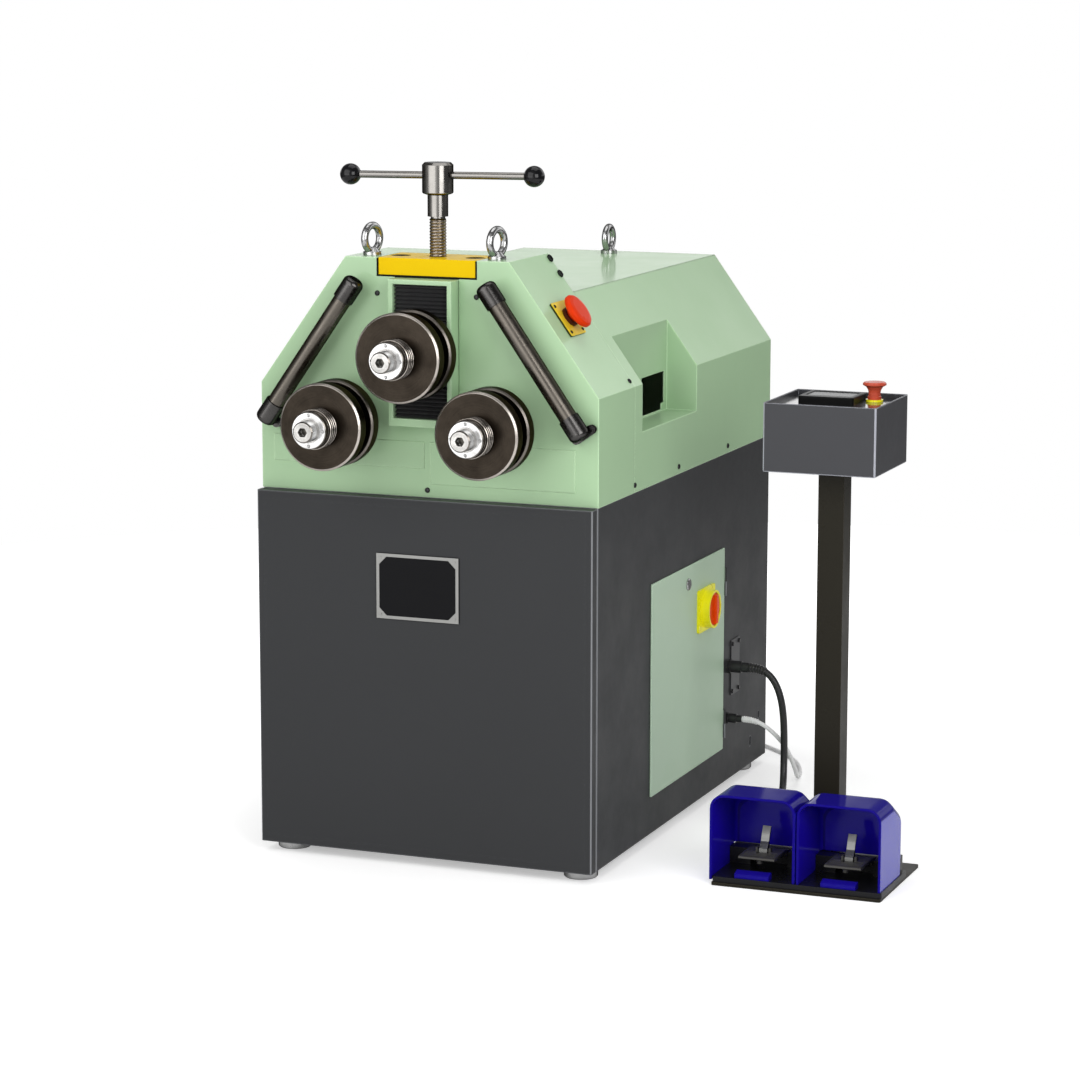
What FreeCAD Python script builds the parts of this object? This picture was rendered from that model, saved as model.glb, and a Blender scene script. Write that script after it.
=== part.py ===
"""Ring roller: a three-roll section bender on a floor cabinet, with a free-standing control
pedestal and foot pedal.

Frame: origin on the floor, in the middle of the footprint of machine and pedestal together.
+Z is up, -Y is the side of the rolls, +X is the side of the electrical door.
The sub-parts are drawn about the machine's own origin, which lies on the floor in the machine's
mid-plane, under the front face of the hood; their placements bring it to its place in the frame.
Millimetres. The driving dimensions are the cells of the sheet "Sizes".
"""
import FreeCAD, Part
import math
import os
import re
import Sketcher

Vector = FreeCAD.Vector
Rotation = FreeCAD.Rotation

SIZES = {
    # cabinet
    "cabinet_wide": 600,
    "cabinet_deep": 904,
    "cabinet_low": 18,
    "cabinet_top": 624,
    "top_plate": 8,
    "sheet_wall": 2.5,
    "front_panel_deep": 25,
    "front_panel_gap": 3,
    "badge_left": -82,
    "badge_right": 67,
    "badge_low": 420,
    "badge_high": 531,
    "badge_rim": 6,
    "badge_corner": 13,
    "foot_radius": 28.5,
    "foot_side": 262,
    "foot_front": 28,
    "foot_back": 842,
    # side door and what it carries
    "door_front": 255,
    "door_back": 640,
    "door_low": 84,
    "door_high": 454,
    "door_lap": 20,
    "door_thick": 2.5,
    "door_gap": 0.4,
    "hinge_along": 643.6,
    "hinge_out": 303.6,
    "hinge_pin": 1.6,
    "knuckle": 3.2,
    "knuckle_tall": 26,
    "hinge_low": 130,
    "hinge_high": 392,
    "lock_along": 441,
    "lock_up": 422,
    "lock_radius": 9,
    "switch_along": 533,
    "switch_up": 363,
    "switch_wide": 88,
    "switch_tall": 77,
    "switch_collar": 34,
    "switch_knob": 29,
    # hood
    "hood_half": 301,
    "hood_wall": 2,
    "eave": 802,
    "ridge": 1017,
    "ridge_half": 145,
    "rear_ridge": 955,
    "front_hood_deep": 170,
    "hood_back": 901,
    "notch_front": 206,
    "notch_back": 483,
    "notch_floor": 722,
    "notch_side": 245,
    "window_front": 355,
    "window_back": 470,
    "window_high": 791,
    # frame inside the hood
    "plate_front": 20,
    "plate_thick": 55,
    "rear_plate_front": 130,
    "rear_plate_thick": 30,
    "frame_half": 294,
    "frame_shoulder": 795,
    "frame_top": 1014,
    "base_plate": 16,
    "base_half": 240,
    "tie_bar": 20,
    "lift_post": 20,
    # slot, slide and carriage
    "slot_half": 50,
    "slot_low": 700,
    "slide_half": 56,
    "slide_open": 48,
    "slide_low": 744,
    "slide_high": 985,
    "slide_open_low": 757,
    "slide_open_high": 977,
    "slide_front": -30,
    "nose_half": 46,
    "nose_front": -26,
    "nose_tall": 100,
    "carriage_low": 807,
    "carriage_high": 928,
    "carriage_front": 22,
    "carriage_back": 158,
    "bellows_back": -8,
    "bellows_fold": 6,
    # bridge and screw
    "bridge_half": 86,
    "bridge_deep": 95,
    "bridge_low": 989,
    "screw_along": 48,
    "screw_radius": 14,
    "bridge_screw_side": 66,
    "counterbore": 16.5,
    "head_low": 1120,
    "head_high": 1171,
    "head_radius": 25.75,
    "bar_up": 1150,
    "bar_radius": 6,
    "bar_half": 153.5,
    "bar_shift": 7,
    "bar_turn": 10.6,
    "ball_radius": 17.5,
    # roll shafts
    "upper_up": 867.5,
    "lower_side": 137,
    "lower_up": 749,
    "shaft_radius": 25,
    "journal_radius": 20,
    "bearing_radius": 40,
    "bearing_wide": 24,
    "boss_radius": 47,
    "upper_roll": 73.5,
    "lower_roll": 72,
    "core_radius": 50,
    "washer_radius": 33,
    "nut_radius": 30.5,
    "tip_radius": 17.5,
    "disc_wide": 26,
    "core_wide": 24,
    "rear_spacer": 12,
    "collar_wide": 5,
    "washer_wide": 6.75,
    "nut_wide": 15,
    "tip_long": 23,
    "shaft_step": 30,
    "edge_break": 3,
    # gears
    "gear_module": 5,
    "gear_teeth": 42,
    "pinion_teeth": 16,
    "gear_front": 168,
    "gear_back": 193,
    "gear_backlash": 0.5,
    "gearbox_front": 218,
    "gearbox_back": 330,
    "gearbox_half": 90,
    "gearbox_top": 800,
    "motor_flange": 74,
    "motor_radius": 66,
    "motor_front": 348,
    "motor_back": 560,
    "motor_end": 620,
    "pinion_up": 701.5,
    "pinion_shaft": 17.5,
    # lifting eyes
    "eye_side": 111,
    "eye_along": 32,
    "rear_eye_along": 850,
    "eye_ring": 21,
    "eye_thick": 6,
    "eye_seat": 15,
    "eye_turn": 11.4,
    # guide bars on the hood front
    "guide_radius": 15,
    "guide_along": -30,
    "guide_top_side": 113,
    "guide_top": 982,
    "guide_low_side": 283,
    "guide_low": 740,
    "sleeve_radius": 17.5,
    "sleeve_long": 40,
    "sleeve_cap": 5,
    "lug_side": 15,
    "lug_up": 6,
    "lug_radius": 8,
    # emergency stop on the hood
    "stop_side": 215.5,
    "stop_along": 77,
    "stop_plate": 64,
    "stop_head": 30,
    # cable entry
    "gland_along": 671,
    "gland_up": 231,
    "gland_out": 340,
    "entry_front": 687,
    "entry_back": 734,
    "entry_low": 173,
    "entry_high": 275,
    "mains_along": 662,
    "mains_up": 137,
    "mains_out": 332,
    "control_cable": 6.5,
    "mains_cable": 4,
    "coil_side": 200,
    "coil_along": 996,
    "coil_radius": 48,
    "coil_bundle": 12,
    # pedestal
    "post_left": 596,
    "post_right": 640,
    "post_front": 245,
    "post_back": 287,
    "foot_plate": 5,
    "plate_front_edge": 54,
    "plate_back_edge": 288,
    "box_left": 519,
    "box_right": 711,
    "box_front": 180,
    "box_back": 370,
    "box_low": 671,
    "box_high": 785,
    "box_recess": 8,
    "display_left": 556,
    "display_right": 651,
    "display_front": 250,
    "display_back": 330,
    "display_tall": 13,
    "display_border": 8,
    "pedestal_stop_side": 668,
    "pedestal_stop_along": 318,
    # foot pedal
    "pedal_left": 480,
    "pedal_right": 768,
    "pedal_front": 58,
    "pedal_back": 212,
    "pedal_top": 14,
    "guard_left": 475,
    "guard_gap_left": 621,
    "guard_gap_right": 624,
    "guard_right": 766,
    "guard_front": 60,
    "guard_crest": 148,
    "guard_back": 182,
    "guard_low_back": 118,
    "guard_skirt": 42,
    "guard_high": 152,
    "guard_wall": 4,
    "guard_corner": 22,
    "guard_bend": 10,
    "left_tread": 548,
    "right_tread": 695,
    "tread_up": 40,
    "tread_front": 84,
    "tread_half": 31,
    "tread_axle": 3,
    "axle_along": 164,
    "axle_up": 34,
    "latch_along": 126,
    "latch_up": 47,
    "latch_half": 7,
}

# share of the shorter run that an arc of a cord takes up
CORD_ARC = 0.45

# what several outlines share, written with the names of the sheet
HOOD_SLOPE = "((ridge - eave) / (hood_half - ridge_half))"
REAR_RIDGE_HALF = "(hood_half - (rear_ridge - eave) / " + HOOD_SLOPE + ")"
SLOPE_STEP = "(hood_wall / cos(atan(" + HOOD_SLOPE + ")))"
BRIDGE_SEAT_HALF = "(bridge_half + 2)"
STACK_TIP = ("(shaft_step + collar_wide + rear_spacer + 2 * disc_wide + core_wide"
             " + 4 * washer_wide + nut_wide + tip_long)")

# where the frame's origin lies, seen from the machine's own origin
ORIGIN_SIDE = "((pedal_right - hood_half) / 2)"
ORIGIN_ALONG = "((cabinet_deep - " + STACK_TIP + ") / 2)"

doc = FreeCAD.newDocument("ring_roller")
sheet = doc.addObject("Spreadsheet::Sheet", "Sizes")
parts = []


# ------------------------------------------------------------------ building blocks

def fill_sheet():
    for row, (name, value) in enumerate(SIZES.items(), start=1):
        sheet.set("A%d" % row, name)
        sheet.set("B%d" % row, str(value))
        sheet.setAlias("B%d" % row, name)
    doc.recompute()


def bound(text):
    """The expression with each size written as a cell of the sheet."""
    return re.sub(r"[a-z_][a-z0-9_]*",
                  lambda word: "Sizes." + word[0] if word[0] in SIZES else word[0], text)


def number(text):
    """The expression's present value."""
    return float(sheet.evalExpression(bound(text)))


def finish(item, label):
    item.Label = label
    parts.append(item)
    return item


def put(item, x="0", y="0", z="0", axis=Vector(0, 0, 1), angle=0):
    """Places an item at a point bound to the sheet, turned about its own origin."""
    item.Placement = FreeCAD.Placement(Vector(number(x), number(y), number(z)),
                                       Rotation(axis, angle))
    item.setExpression("Placement.Base.x", bound(x))
    item.setExpression("Placement.Base.y", bound(y))
    item.setExpression("Placement.Base.z", bound(z))
    return item


def stand(item, x="0", y="0", z="0", axis=Vector(0, 0, 1), angle=0):
    """Places a whole sub-part: a machine position brought into the frame."""
    return put(item, "%s - %s" % (x, ORIGIN_SIDE), "%s - %s" % (y, ORIGIN_ALONG), z, axis, angle)


def new_body(label, *place):
    return stand(finish(doc.addObject("PartDesign::Body", label), label), *place)


def facing_front(label, x, z):
    """A body whose own Z axis points to the machine's front (-Y)."""
    return new_body(label, x, "0", z, Vector(1, 0, 0), 90)


def origin_item(body, role):
    return [item for item in body.Origin.OriginFeatures if item.Role == role][0]


def rectangle(left, low, right, high):
    return [(left, low), (right, low), (right, high), (left, high)]


def clipped(left, low, right, high, corner):
    """A rectangle with its four corners cut off."""
    return [("%s + %s" % (left, corner), low), ("%s - %s" % (right, corner), low),
            (right, "%s + %s" % (low, corner)), (right, "%s - %s" % (high, corner)),
            ("%s - %s" % (right, corner), high), ("%s + %s" % (left, corner), high),
            (left, "%s - %s" % (high, corner)), (left, "%s + %s" % (low, corner))]


def centred(x, y, half_wide, half_high):
    return rectangle("%s - (%s)" % (x, half_wide), "%s - (%s)" % (y, half_high),
                     "%s + %s" % (x, half_wide), "%s + %s" % (y, half_high))


def circle(x, y, radius):
    return ("circle", x, y, radius)


def polygon(x, y, radius, corners, start=0):
    return [("%s + (%s) * cos(%g)" % (x, radius, start + 360 * k / corners),
             "%s + (%s) * sin(%g)" % (y, radius, start + 360 * k / corners))
            for k in range(corners)]


def other_side(loop):
    """The loop mirrored in the machine's mid-plane."""
    if loop[0] == "circle":
        return circle("-(%s)" % loop[1], loop[2], loop[3])
    return [("-(%s)" % x, y) for x, y in loop]


def both_sides(loops):
    return loops + [other_side(loop) for loop in loops]


def tie(constraints, ties, geometry, point, axis, text):
    """Ties one coordinate of a sketch point to an expression."""
    value = number(text)
    kind = "DistanceX" if axis == "x" else "DistanceY"
    if abs(value) < 1e-7:
        constraints.append(Sketcher.Constraint("PointOnObject", geometry, point,
                                               -2 if axis == "x" else -1))
    elif value > 0:
        ties.append((len(constraints), text))
        constraints.append(Sketcher.Constraint(kind, -1, 1, geometry, point, value))
    else:
        ties.append((len(constraints), "-(" + text + ")"))
        constraints.append(Sketcher.Constraint(kind, geometry, point, -1, 1, -value))


def sketch(body, role, loops, offset="0"):
    """A fully tied sketch of closed loops on one of the body's origin planes."""
    item = body.newObject("Sketcher::SketchObject", "Sketch")
    item.AttachmentSupport = [(origin_item(body, role), "")]
    item.MapMode = "FlatFace"
    item.setExpression("AttachmentOffset.Base.z", bound(offset))
    constraints = []
    ties = []
    count = 0
    for loop in loops:
        if loop[0] == "circle":
            x, y, radius = loop[1:]
            item.addGeometry(Part.Circle(Vector(number(x), number(y), 0), Vector(0, 0, 1),
                                         number(radius)), False)
            tie(constraints, ties, count, 3, "x", x)
            tie(constraints, ties, count, 3, "y", y)
            ties.append((len(constraints), radius))
            constraints.append(Sketcher.Constraint("Radius", count, number(radius)))
            count += 1
            continue
        corners = [Vector(number(x), number(y), 0) for x, y in loop]
        for k, corner in enumerate(corners):
            following = (k + 1) % len(corners)
            item.addGeometry(Part.LineSegment(corner, corners[following]), False)
            constraints.append(Sketcher.Constraint("Coincident", count + k, 2,
                                                   count + following, 1))
            tie(constraints, ties, count + k, 1, "x", loop[k][0])
            tie(constraints, ties, count + k, 1, "y", loop[k][1])
        count += len(corners)
    item.addConstraint(constraints)
    for index, text in ties:
        item.setExpression("Constraints[%d]" % index, bound(text))
    return item


def extent(feature, low, high):
    feature.setExpression("Length", bound("(%s) - (%s)" % (high, low)))
    return feature


def pad(body, role, loops, low, high):
    """Material from low to high along the plane's machine axis."""
    across = role == "XZ_Plane"
    profile = sketch(body, role, loops, "-(%s)" % low if across else low)
    feature = body.newObject("PartDesign::Pad", "Pad")
    feature.Profile = profile
    feature.Reversed = across
    return extent(feature, low, high)


def pocket(body, role, loops, low, high):
    """A cut from low to high along the plane's machine axis."""
    across = role == "XZ_Plane"
    profile = sketch(body, role, loops, "-(%s)" % low if across else high)
    feature = body.newObject("PartDesign::Pocket", "Pocket")
    feature.Profile = profile
    return extent(feature, low, high)


def turned(body, loops):
    """Material turned about the body's own Z axis; loops hold (radius, height)."""
    profile = sketch(body, "XZ_Plane", loops)
    feature = body.newObject("PartDesign::Revolution", "Revolution")
    feature.Profile = profile
    feature.ReferenceAxis = (profile, ["V_Axis"])
    feature.Angle = 360
    return feature


def ring(inner, outer, low, high, bevel="0"):
    """Half section of a ring with bevelled outer edges, for turned()."""
    if number(bevel) == 0:
        return rectangle(inner, low, outer, high)
    return [(inner, low), (outer + " - " + bevel, low), (outer, "%s + %s" % (low, bevel)),
            (outer, "%s - %s" % (high, bevel)), (outer + " - " + bevel, high), (inner, high)]


def repeat_round(body, feature, count):
    pattern = body.newObject("PartDesign::PolarPattern", "PolarPattern")
    pattern.Originals = [feature]
    pattern.Axis = (origin_item(body, "Z_Axis"), [""])
    pattern.Angle = 360
    pattern.Occurrences = count
    body.Tip = pattern


def repeat_along(body, feature, role, length, count):
    pattern = body.newObject("PartDesign::LinearPattern", "LinearPattern")
    pattern.Originals = [feature]
    pattern.Direction = (origin_item(body, role), [""])
    pattern.setExpression("Length", bound(length))
    pattern.Occurrences = count
    body.Tip = pattern


def round_edges(body, radius, wanted, kind="Fillet"):
    """Rounds or bevels the edges for which wanted(edge) is true."""
    doc.recompute()
    base = body.Tip
    names = ["Edge%d" % (k + 1) for k, edge in enumerate(base.Shape.Edges) if wanted(edge)]
    if not names:
        raise ValueError("no edge to round on " + body.Label)
    feature = body.newObject("PartDesign::" + kind, kind)
    feature.Base = (base, names)
    feature.setExpression("Radius" if kind == "Fillet" else "Size", bound(radius))
    return feature


def along(axis):
    """Chooses straight edges that run along one axis of the body."""
    lengths = {"x": "XLength", "y": "YLength", "z": "ZLength"}
    others = [name for key, name in lengths.items() if key != axis]

    def test(edge):
        box = edge.BoundBox
        return all(getattr(box, name) < 1e-6 for name in others)
    return test


def at_height(level):
    """Chooses edges that lie flat at one height of the body."""
    height = number(level)

    def test(edge):
        box = edge.BoundBox
        return abs(box.ZMin - height) < 1e-6 and abs(box.ZMax - height) < 1e-6
    return test


def primitive(kind, label, sizes, x="0", y="0", z="0", axis=Vector(0, 0, 1), angle=0):
    item = doc.addObject("Part::" + kind, label)
    for name, text in sizes.items():
        item.setExpression(name, bound(text))
    return put(item, x, y, z, axis, angle)


def fused(label, items):
    item = doc.addObject("Part::MultiFuse", label)
    item.Shapes = items
    return item


def cut(label, base, tool):
    item = doc.addObject("Part::Cut", label)
    item.Base = base
    item.Tool = tool
    return item


def group(label, items):
    item = doc.addObject("Part::Compound", label)
    item.Links = items
    return stand(finish(item, label))


# ------------------------------------------------------------------ cabinet

def cabinet_shell():
    body = new_body("cabinet_shell")
    side = "cabinet_wide / 2"
    pad(body, "XY_Plane", [rectangle("-" + side, "0", side, "cabinet_deep")],
        "cabinet_low", "cabinet_top")
    round_edges(body, "3", along("z"))
    inner = side + " - sheet_wall"
    pocket(body, "XY_Plane",
           [rectangle("-(%s)" % inner, "sheet_wall", inner, "cabinet_deep - sheet_wall")],
           "cabinet_low + sheet_wall", "cabinet_top - top_plate")
    # opening behind the front panel
    pocket(body, "XZ_Plane", [rectangle("-%s + 40" % side, "cabinet_low + 40",
                                        side + " - 40", "cabinet_top - 40")],
           "0", "sheet_wall")
    # opening behind the side door
    pocket(body, "YZ_Plane", [rectangle("door_front + door_lap", "door_low + door_lap",
                                        "door_back - door_lap", "door_high - door_lap")],
           inner, side)
    # two small slots low on the side
    pocket(body, "YZ_Plane", [centred("858", "101", "4", "7"), centred("809", "61", "4", "9")],
           inner, side)
    # air slots in the back
    slot = pocket(body, "XZ_Plane", [rectangle("-90", "440", "90", "448")],
                  "cabinet_deep - sheet_wall", "cabinet_deep")
    repeat_along(body, slot, "Z_Axis", "112", 8)
    # fixed knuckles and pins of the lift-off hinges
    for level in ("hinge_low", "hinge_high"):
        knuckle = [circle("hinge_out", "hinge_along", "knuckle")]
        pad(body, "XY_Plane", knuckle, "%s - knuckle_tall" % level, level)
        leaf = rectangle("%s - sheet_wall" % side, "hinge_along - knuckle / 2",
                         "hinge_out", "hinge_along + knuckle / 2")
        pad(body, "XY_Plane", [leaf], "%s - knuckle_tall" % level, level)
        pad(body, "XY_Plane", [circle("hinge_out", "hinge_along", "hinge_pin")],
            level, "%s + knuckle_tall - 2" % level)


def cabinet_front_panel():
    body = new_body("cabinet_front_panel")
    side = "cabinet_wide / 2"
    low = "cabinet_low"
    high = "cabinet_top - 1"
    pad(body, "XZ_Plane", [rectangle("-" + side, low, side, high)],
        "-front_panel_deep", "-front_panel_gap")
    round_edges(body, "3", along("z"))
    pocket(body, "XZ_Plane", [rectangle("-%s + sheet_wall" % side, low + " + sheet_wall",
                                        side + " - sheet_wall", high + " - sheet_wall")],
           "-front_panel_deep + sheet_wall", "-front_panel_gap")
    # returned flange that stands the tray off the cabinet
    flange_out = rectangle("-%s + 12" % side, low + " + 12", side + " - 12", high + " - 12")
    flange_in = rectangle("-%s + 14.5" % side, low + " + 14.5", side + " - 14.5", high + " - 14.5")
    pad(body, "XZ_Plane", [flange_out, flange_in], "-front_panel_deep + sheet_wall", "0")


def badge_plate():
    body = new_body("badge_plate")
    pad(body, "XZ_Plane", [rectangle("badge_left", "badge_low", "badge_right", "badge_high")],
        "-front_panel_deep - 1.5", "-front_panel_deep")
    round_edges(body, "3", along("y"))
    # raised rim with gussets, and a rivet through each gusset
    edge = rectangle("badge_left + 0.8", "badge_low + 0.8", "badge_right - 0.8", "badge_high - 0.8")
    field = clipped("badge_left + badge_rim", "badge_low + badge_rim",
                    "badge_right - badge_rim", "badge_high - badge_rim", "badge_corner")
    pad(body, "XZ_Plane", [edge, field], "-front_panel_deep - 2.3", "-front_panel_deep - 1.5")
    rivets = [circle(x, z, "2.4") for x in ("badge_left + badge_rim + 2", "badge_right - badge_rim - 2")
              for z in ("badge_low + badge_rim + 2", "badge_high - badge_rim - 2")]
    pad(body, "XZ_Plane", rivets, "-front_panel_deep - 3.2", "-front_panel_deep - 2.3")


def cabinet_feet():
    feet = []
    for side in ("-foot_side", "foot_side"):
        for along_y in ("foot_front", "foot_back"):
            pad_item = primitive("Cylinder", "foot_pad", {"Radius": "foot_radius", "Height": "13"},
                                 side, along_y)
            bevel = doc.addObject("Part::Chamfer", "foot_edge")
            bevel.Base = pad_item
            doc.recompute()
            bevel.Edges = [(k + 1, 2.0, 2.0) for k, edge in enumerate(pad_item.Shape.Edges)
                           if edge.Curve.TypeId == "Part::GeomCircle"]
            stem = primitive("Cylinder", "foot_stem", {"Radius": "12", "Height": "cabinet_low"},
                             side, along_y)
            feet.append(fused("foot", [bevel, stem]))
    group("cabinet_feet", feet)


# ------------------------------------------------------------------ frame in the hood

def frame_outline():
    """Outline of the frame plates, open at the top for the bridge and the slide slot."""
    right = [("frame_half", "cabinet_top"), ("frame_half", "frame_shoulder"),
             ("ridge_half - 10", "frame_top - 14"), ("ridge_half - 17", "frame_top"),
             (BRIDGE_SEAT_HALF, "frame_top"), (BRIDGE_SEAT_HALF, "bridge_low"),
             ("slot_half", "bridge_low"), ("slot_half", "slot_low")]
    left = [("-(%s)" % x, z) for x, z in reversed(right)]
    return right + left


def lower_circles(radius):
    return [circle("lower_side", "lower_up", radius), circle("-lower_side", "lower_up", radius)]


def main_frame():
    body = new_body("main_frame")
    plate_back = "plate_front + plate_thick"
    rear_back = "rear_plate_front + rear_plate_thick"
    pad(body, "XZ_Plane", [frame_outline()], "plate_front", plate_back)
    pad(body, "XZ_Plane", [frame_outline()], "rear_plate_front", rear_back)
    pad(body, "XY_Plane", [rectangle("-base_half", "plate_front", "base_half", rear_back)],
        "cabinet_top", "cabinet_top + base_plate")
    ties = [circle(x, z, "tie_bar") for x, z in (("250", "680"), ("-250", "680"),
                                                 ("170", "900"), ("-170", "900"))]
    pad(body, "XZ_Plane", ties, plate_back, "rear_plate_front")
    pad(body, "XZ_Plane", lower_circles("boss_radius"), "-6", "plate_front")
    pocket(body, "XZ_Plane", lower_circles("shaft_radius + 1"), "-6", plate_back)
    pocket(body, "XZ_Plane", lower_circles("bearing_radius"),
           plate_back + " - bearing_wide - 4", plate_back)
    pocket(body, "XZ_Plane", lower_circles("bearing_radius"), "rear_plate_front", rear_back)
    # tapped holes for the bridge screws and the front lifting eyes
    pocket(body, "XY_Plane", both_sides([circle("bridge_screw_side", "screw_along", "10")]),
           "bridge_low - 40", "bridge_low")
    pocket(body, "XY_Plane", both_sides([circle("eye_side", "eye_along", "6")]),
           "ridge - 24", "frame_top")
    # post that carries the rear lifting eye
    pad(body, "XY_Plane", [circle("0", "rear_eye_along", "2 * lift_post")],
        "cabinet_top", "cabinet_top + base_plate")
    pad(body, "XY_Plane", [circle("0", "rear_eye_along", "lift_post")],
        "cabinet_top", "rear_ridge - hood_wall")
    pocket(body, "XY_Plane", [circle("0", "rear_eye_along", "6")],
           "rear_ridge - 24", "rear_ridge - hood_wall")


def slide_frame():
    body = new_body("slide_frame")
    pad(body, "XZ_Plane", [rectangle("-slide_half", "slide_low", "slide_half", "slide_high"),
                           rectangle("-slide_open", "slide_open_low", "slide_open",
                                     "slide_open_high")],
        "slide_front", "plate_front")
    front = number("slide_front")
    round_edges(body, "1.2", lambda edge: abs(edge.BoundBox.YMin - front) < 1e-6
                and abs(edge.BoundBox.YMax - front) < 1e-6)


def bridge():
    body = new_body("bridge")
    pad(body, "XY_Plane", [rectangle("-bridge_half", "0", "bridge_half", "bridge_deep")],
        "bridge_low", "ridge")
    pocket(body, "XY_Plane", [circle("0", "screw_along", "screw_radius + 0.3")],
           "bridge_low", "ridge")
    round_edges(body, "1.5", along("z"))
    holes = both_sides([circle("bridge_screw_side", "screw_along", "10")])
    pocket(body, "XY_Plane", holes, "bridge_low", "ridge")
    sinks = both_sides([circle("bridge_screw_side", "screw_along", "counterbore")])
    pocket(body, "XY_Plane", sinks, "ridge - 21", "ridge")


def bridge_screws():
    body = new_body("bridge_screws")
    sites = both_sides([circle("bridge_screw_side", "screw_along", "10")])
    heads = both_sides([circle("bridge_screw_side", "screw_along", "15")])
    pad(body, "XY_Plane", sites, "bridge_low - 38", "ridge - 21")
    pad(body, "XY_Plane", heads, "ridge - 21", "ridge - 4")
    round_edges(body, "1.5", at_height("ridge - 4"))
    sockets = both_sides([polygon("bridge_screw_side", "screw_along", "9.8", 6)])
    pocket(body, "XY_Plane", sockets, "ridge - 14", "ridge - 4")


def lower_bearings():
    body = new_body("lower_bearings")
    rings = [circle(x, "lower_up", radius) for x in ("lower_side", "-lower_side")
             for radius in ("bearing_radius", "shaft_radius + 0.05")]
    plate_back = "plate_front + plate_thick"
    pad(body, "XZ_Plane", rings, plate_back + " - bearing_wide", plate_back)
    pad(body, "XZ_Plane", rings, "rear_plate_front + 3", "rear_plate_front + 3 + bearing_wide")


def gearmotor():
    body = new_body("gearmotor")
    pad(body, "XZ_Plane", [rectangle("-gearbox_half", "cabinet_top", "gearbox_half", "gearbox_top")],
        "gearbox_front", "gearbox_back")
    round_edges(body, "12", along("y"))
    pad(body, "XZ_Plane", [circle("0", "pinion_up", "45")], "gearbox_front - 6", "gearbox_front")
    pocket(body, "XZ_Plane", [circle("0", "pinion_up", "pinion_shaft + 0.05")],
           "gearbox_front - 6", "gearbox_front + 26")
    pad(body, "XZ_Plane", [circle("0", "pinion_up", "motor_flange")], "gearbox_back", "motor_front")
    pad(body, "XZ_Plane", [circle("0", "pinion_up", "motor_radius")], "motor_front", "motor_back")
    # cooling fins, fan cover, terminal box and foot
    fins = [rectangle("-72", "pinion_up + %d" % (12 * k - 2), "72", "pinion_up + %d" % (12 * k + 2))
            for k in range(-3, 4)]
    pad(body, "XZ_Plane", fins, "motor_front", "motor_back - 20")
    pad(body, "XZ_Plane", [circle("0", "pinion_up", "motor_flange - 1")], "motor_back", "motor_end")
    end = number("motor_end")
    round_edges(body, "8", lambda edge: abs(edge.BoundBox.YMin - end) < 1e-6)
    pad(body, "XY_Plane", [rectangle("-40", "motor_front + 42", "40", "motor_front + 132")],
        "pinion_up + motor_radius - 6", "pinion_up + motor_radius + 46")
    pad(body, "XY_Plane", [rectangle("-70", "motor_front + 52", "70", "motor_front + 152")],
        "cabinet_top", "pinion_up - motor_radius + 16")


# ------------------------------------------------------------------ hoods

def hood_outline(half, top_half, top, inset="0"):
    """Hood section, drawn in by a wall thickness."""
    slope_inset = "0" if inset == "0" else SLOPE_STEP
    side = half + " - " + inset
    eave_level = "eave - %s + %s * %s" % (slope_inset, inset, HOOD_SLOPE)
    peak = top + " - " + inset
    peak_half = "%s + (%s - %s) / %s" % (top_half, inset, slope_inset, HOOD_SLOPE)
    return [("-(%s)" % side, "cabinet_top"), (side, "cabinet_top"), (side, eave_level),
            (peak_half, peak), ("-(%s)" % peak_half, peak), ("-(%s)" % side, eave_level)]


def front_hood():
    body = new_body("front_hood")
    pad(body, "XZ_Plane", [hood_outline("hood_half", "ridge_half", "ridge")],
        "0", "front_hood_deep")
    pocket(body, "XZ_Plane", [hood_outline("hood_half", "ridge_half", "ridge", "hood_wall")],
           "hood_wall", "front_hood_deep")
    # gable that closes the step down to the lower rear hood
    step = [("-(%s)" % REAR_RIDGE_HALF, "rear_ridge - 15"), (REAR_RIDGE_HALF, "rear_ridge - 15"),
            (REAR_RIDGE_HALF, "rear_ridge - 6"), ("ridge_half - 3", "ridge - hood_wall"),
            ("-(ridge_half - 3)", "ridge - hood_wall"), ("-(%s)" % REAR_RIDGE_HALF, "rear_ridge - 6")]
    pad(body, "XZ_Plane", [step], "front_hood_deep - hood_wall", "front_hood_deep")
    # openings for the slide frame, the shaft bosses and the bridge
    pocket(body, "XZ_Plane", [rectangle("-slide_half - 1", "slide_low - 1",
                                        "slide_half + 1", "slide_high + 1")], "0", "hood_wall")
    pocket(body, "XZ_Plane", lower_circles("boss_radius + 1.5"), "0", "hood_wall")
    pocket(body, "XY_Plane", [rectangle("-(%s)" % BRIDGE_SEAT_HALF, "-1", BRIDGE_SEAT_HALF,
                                        "bridge_deep + 2")], "bridge_low - 2", "ridge")
    pocket(body, "XY_Plane", both_sides([circle("eye_side", "eye_along", "6.5")]),
           "ridge - hood_wall", "ridge")
    # holes for the studs of the guide bar brackets
    holes = [circle(x, z, "5.5") for x, z in guide_stud_places()]
    pocket(body, "XZ_Plane", holes, "0", "hood_wall")


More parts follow.
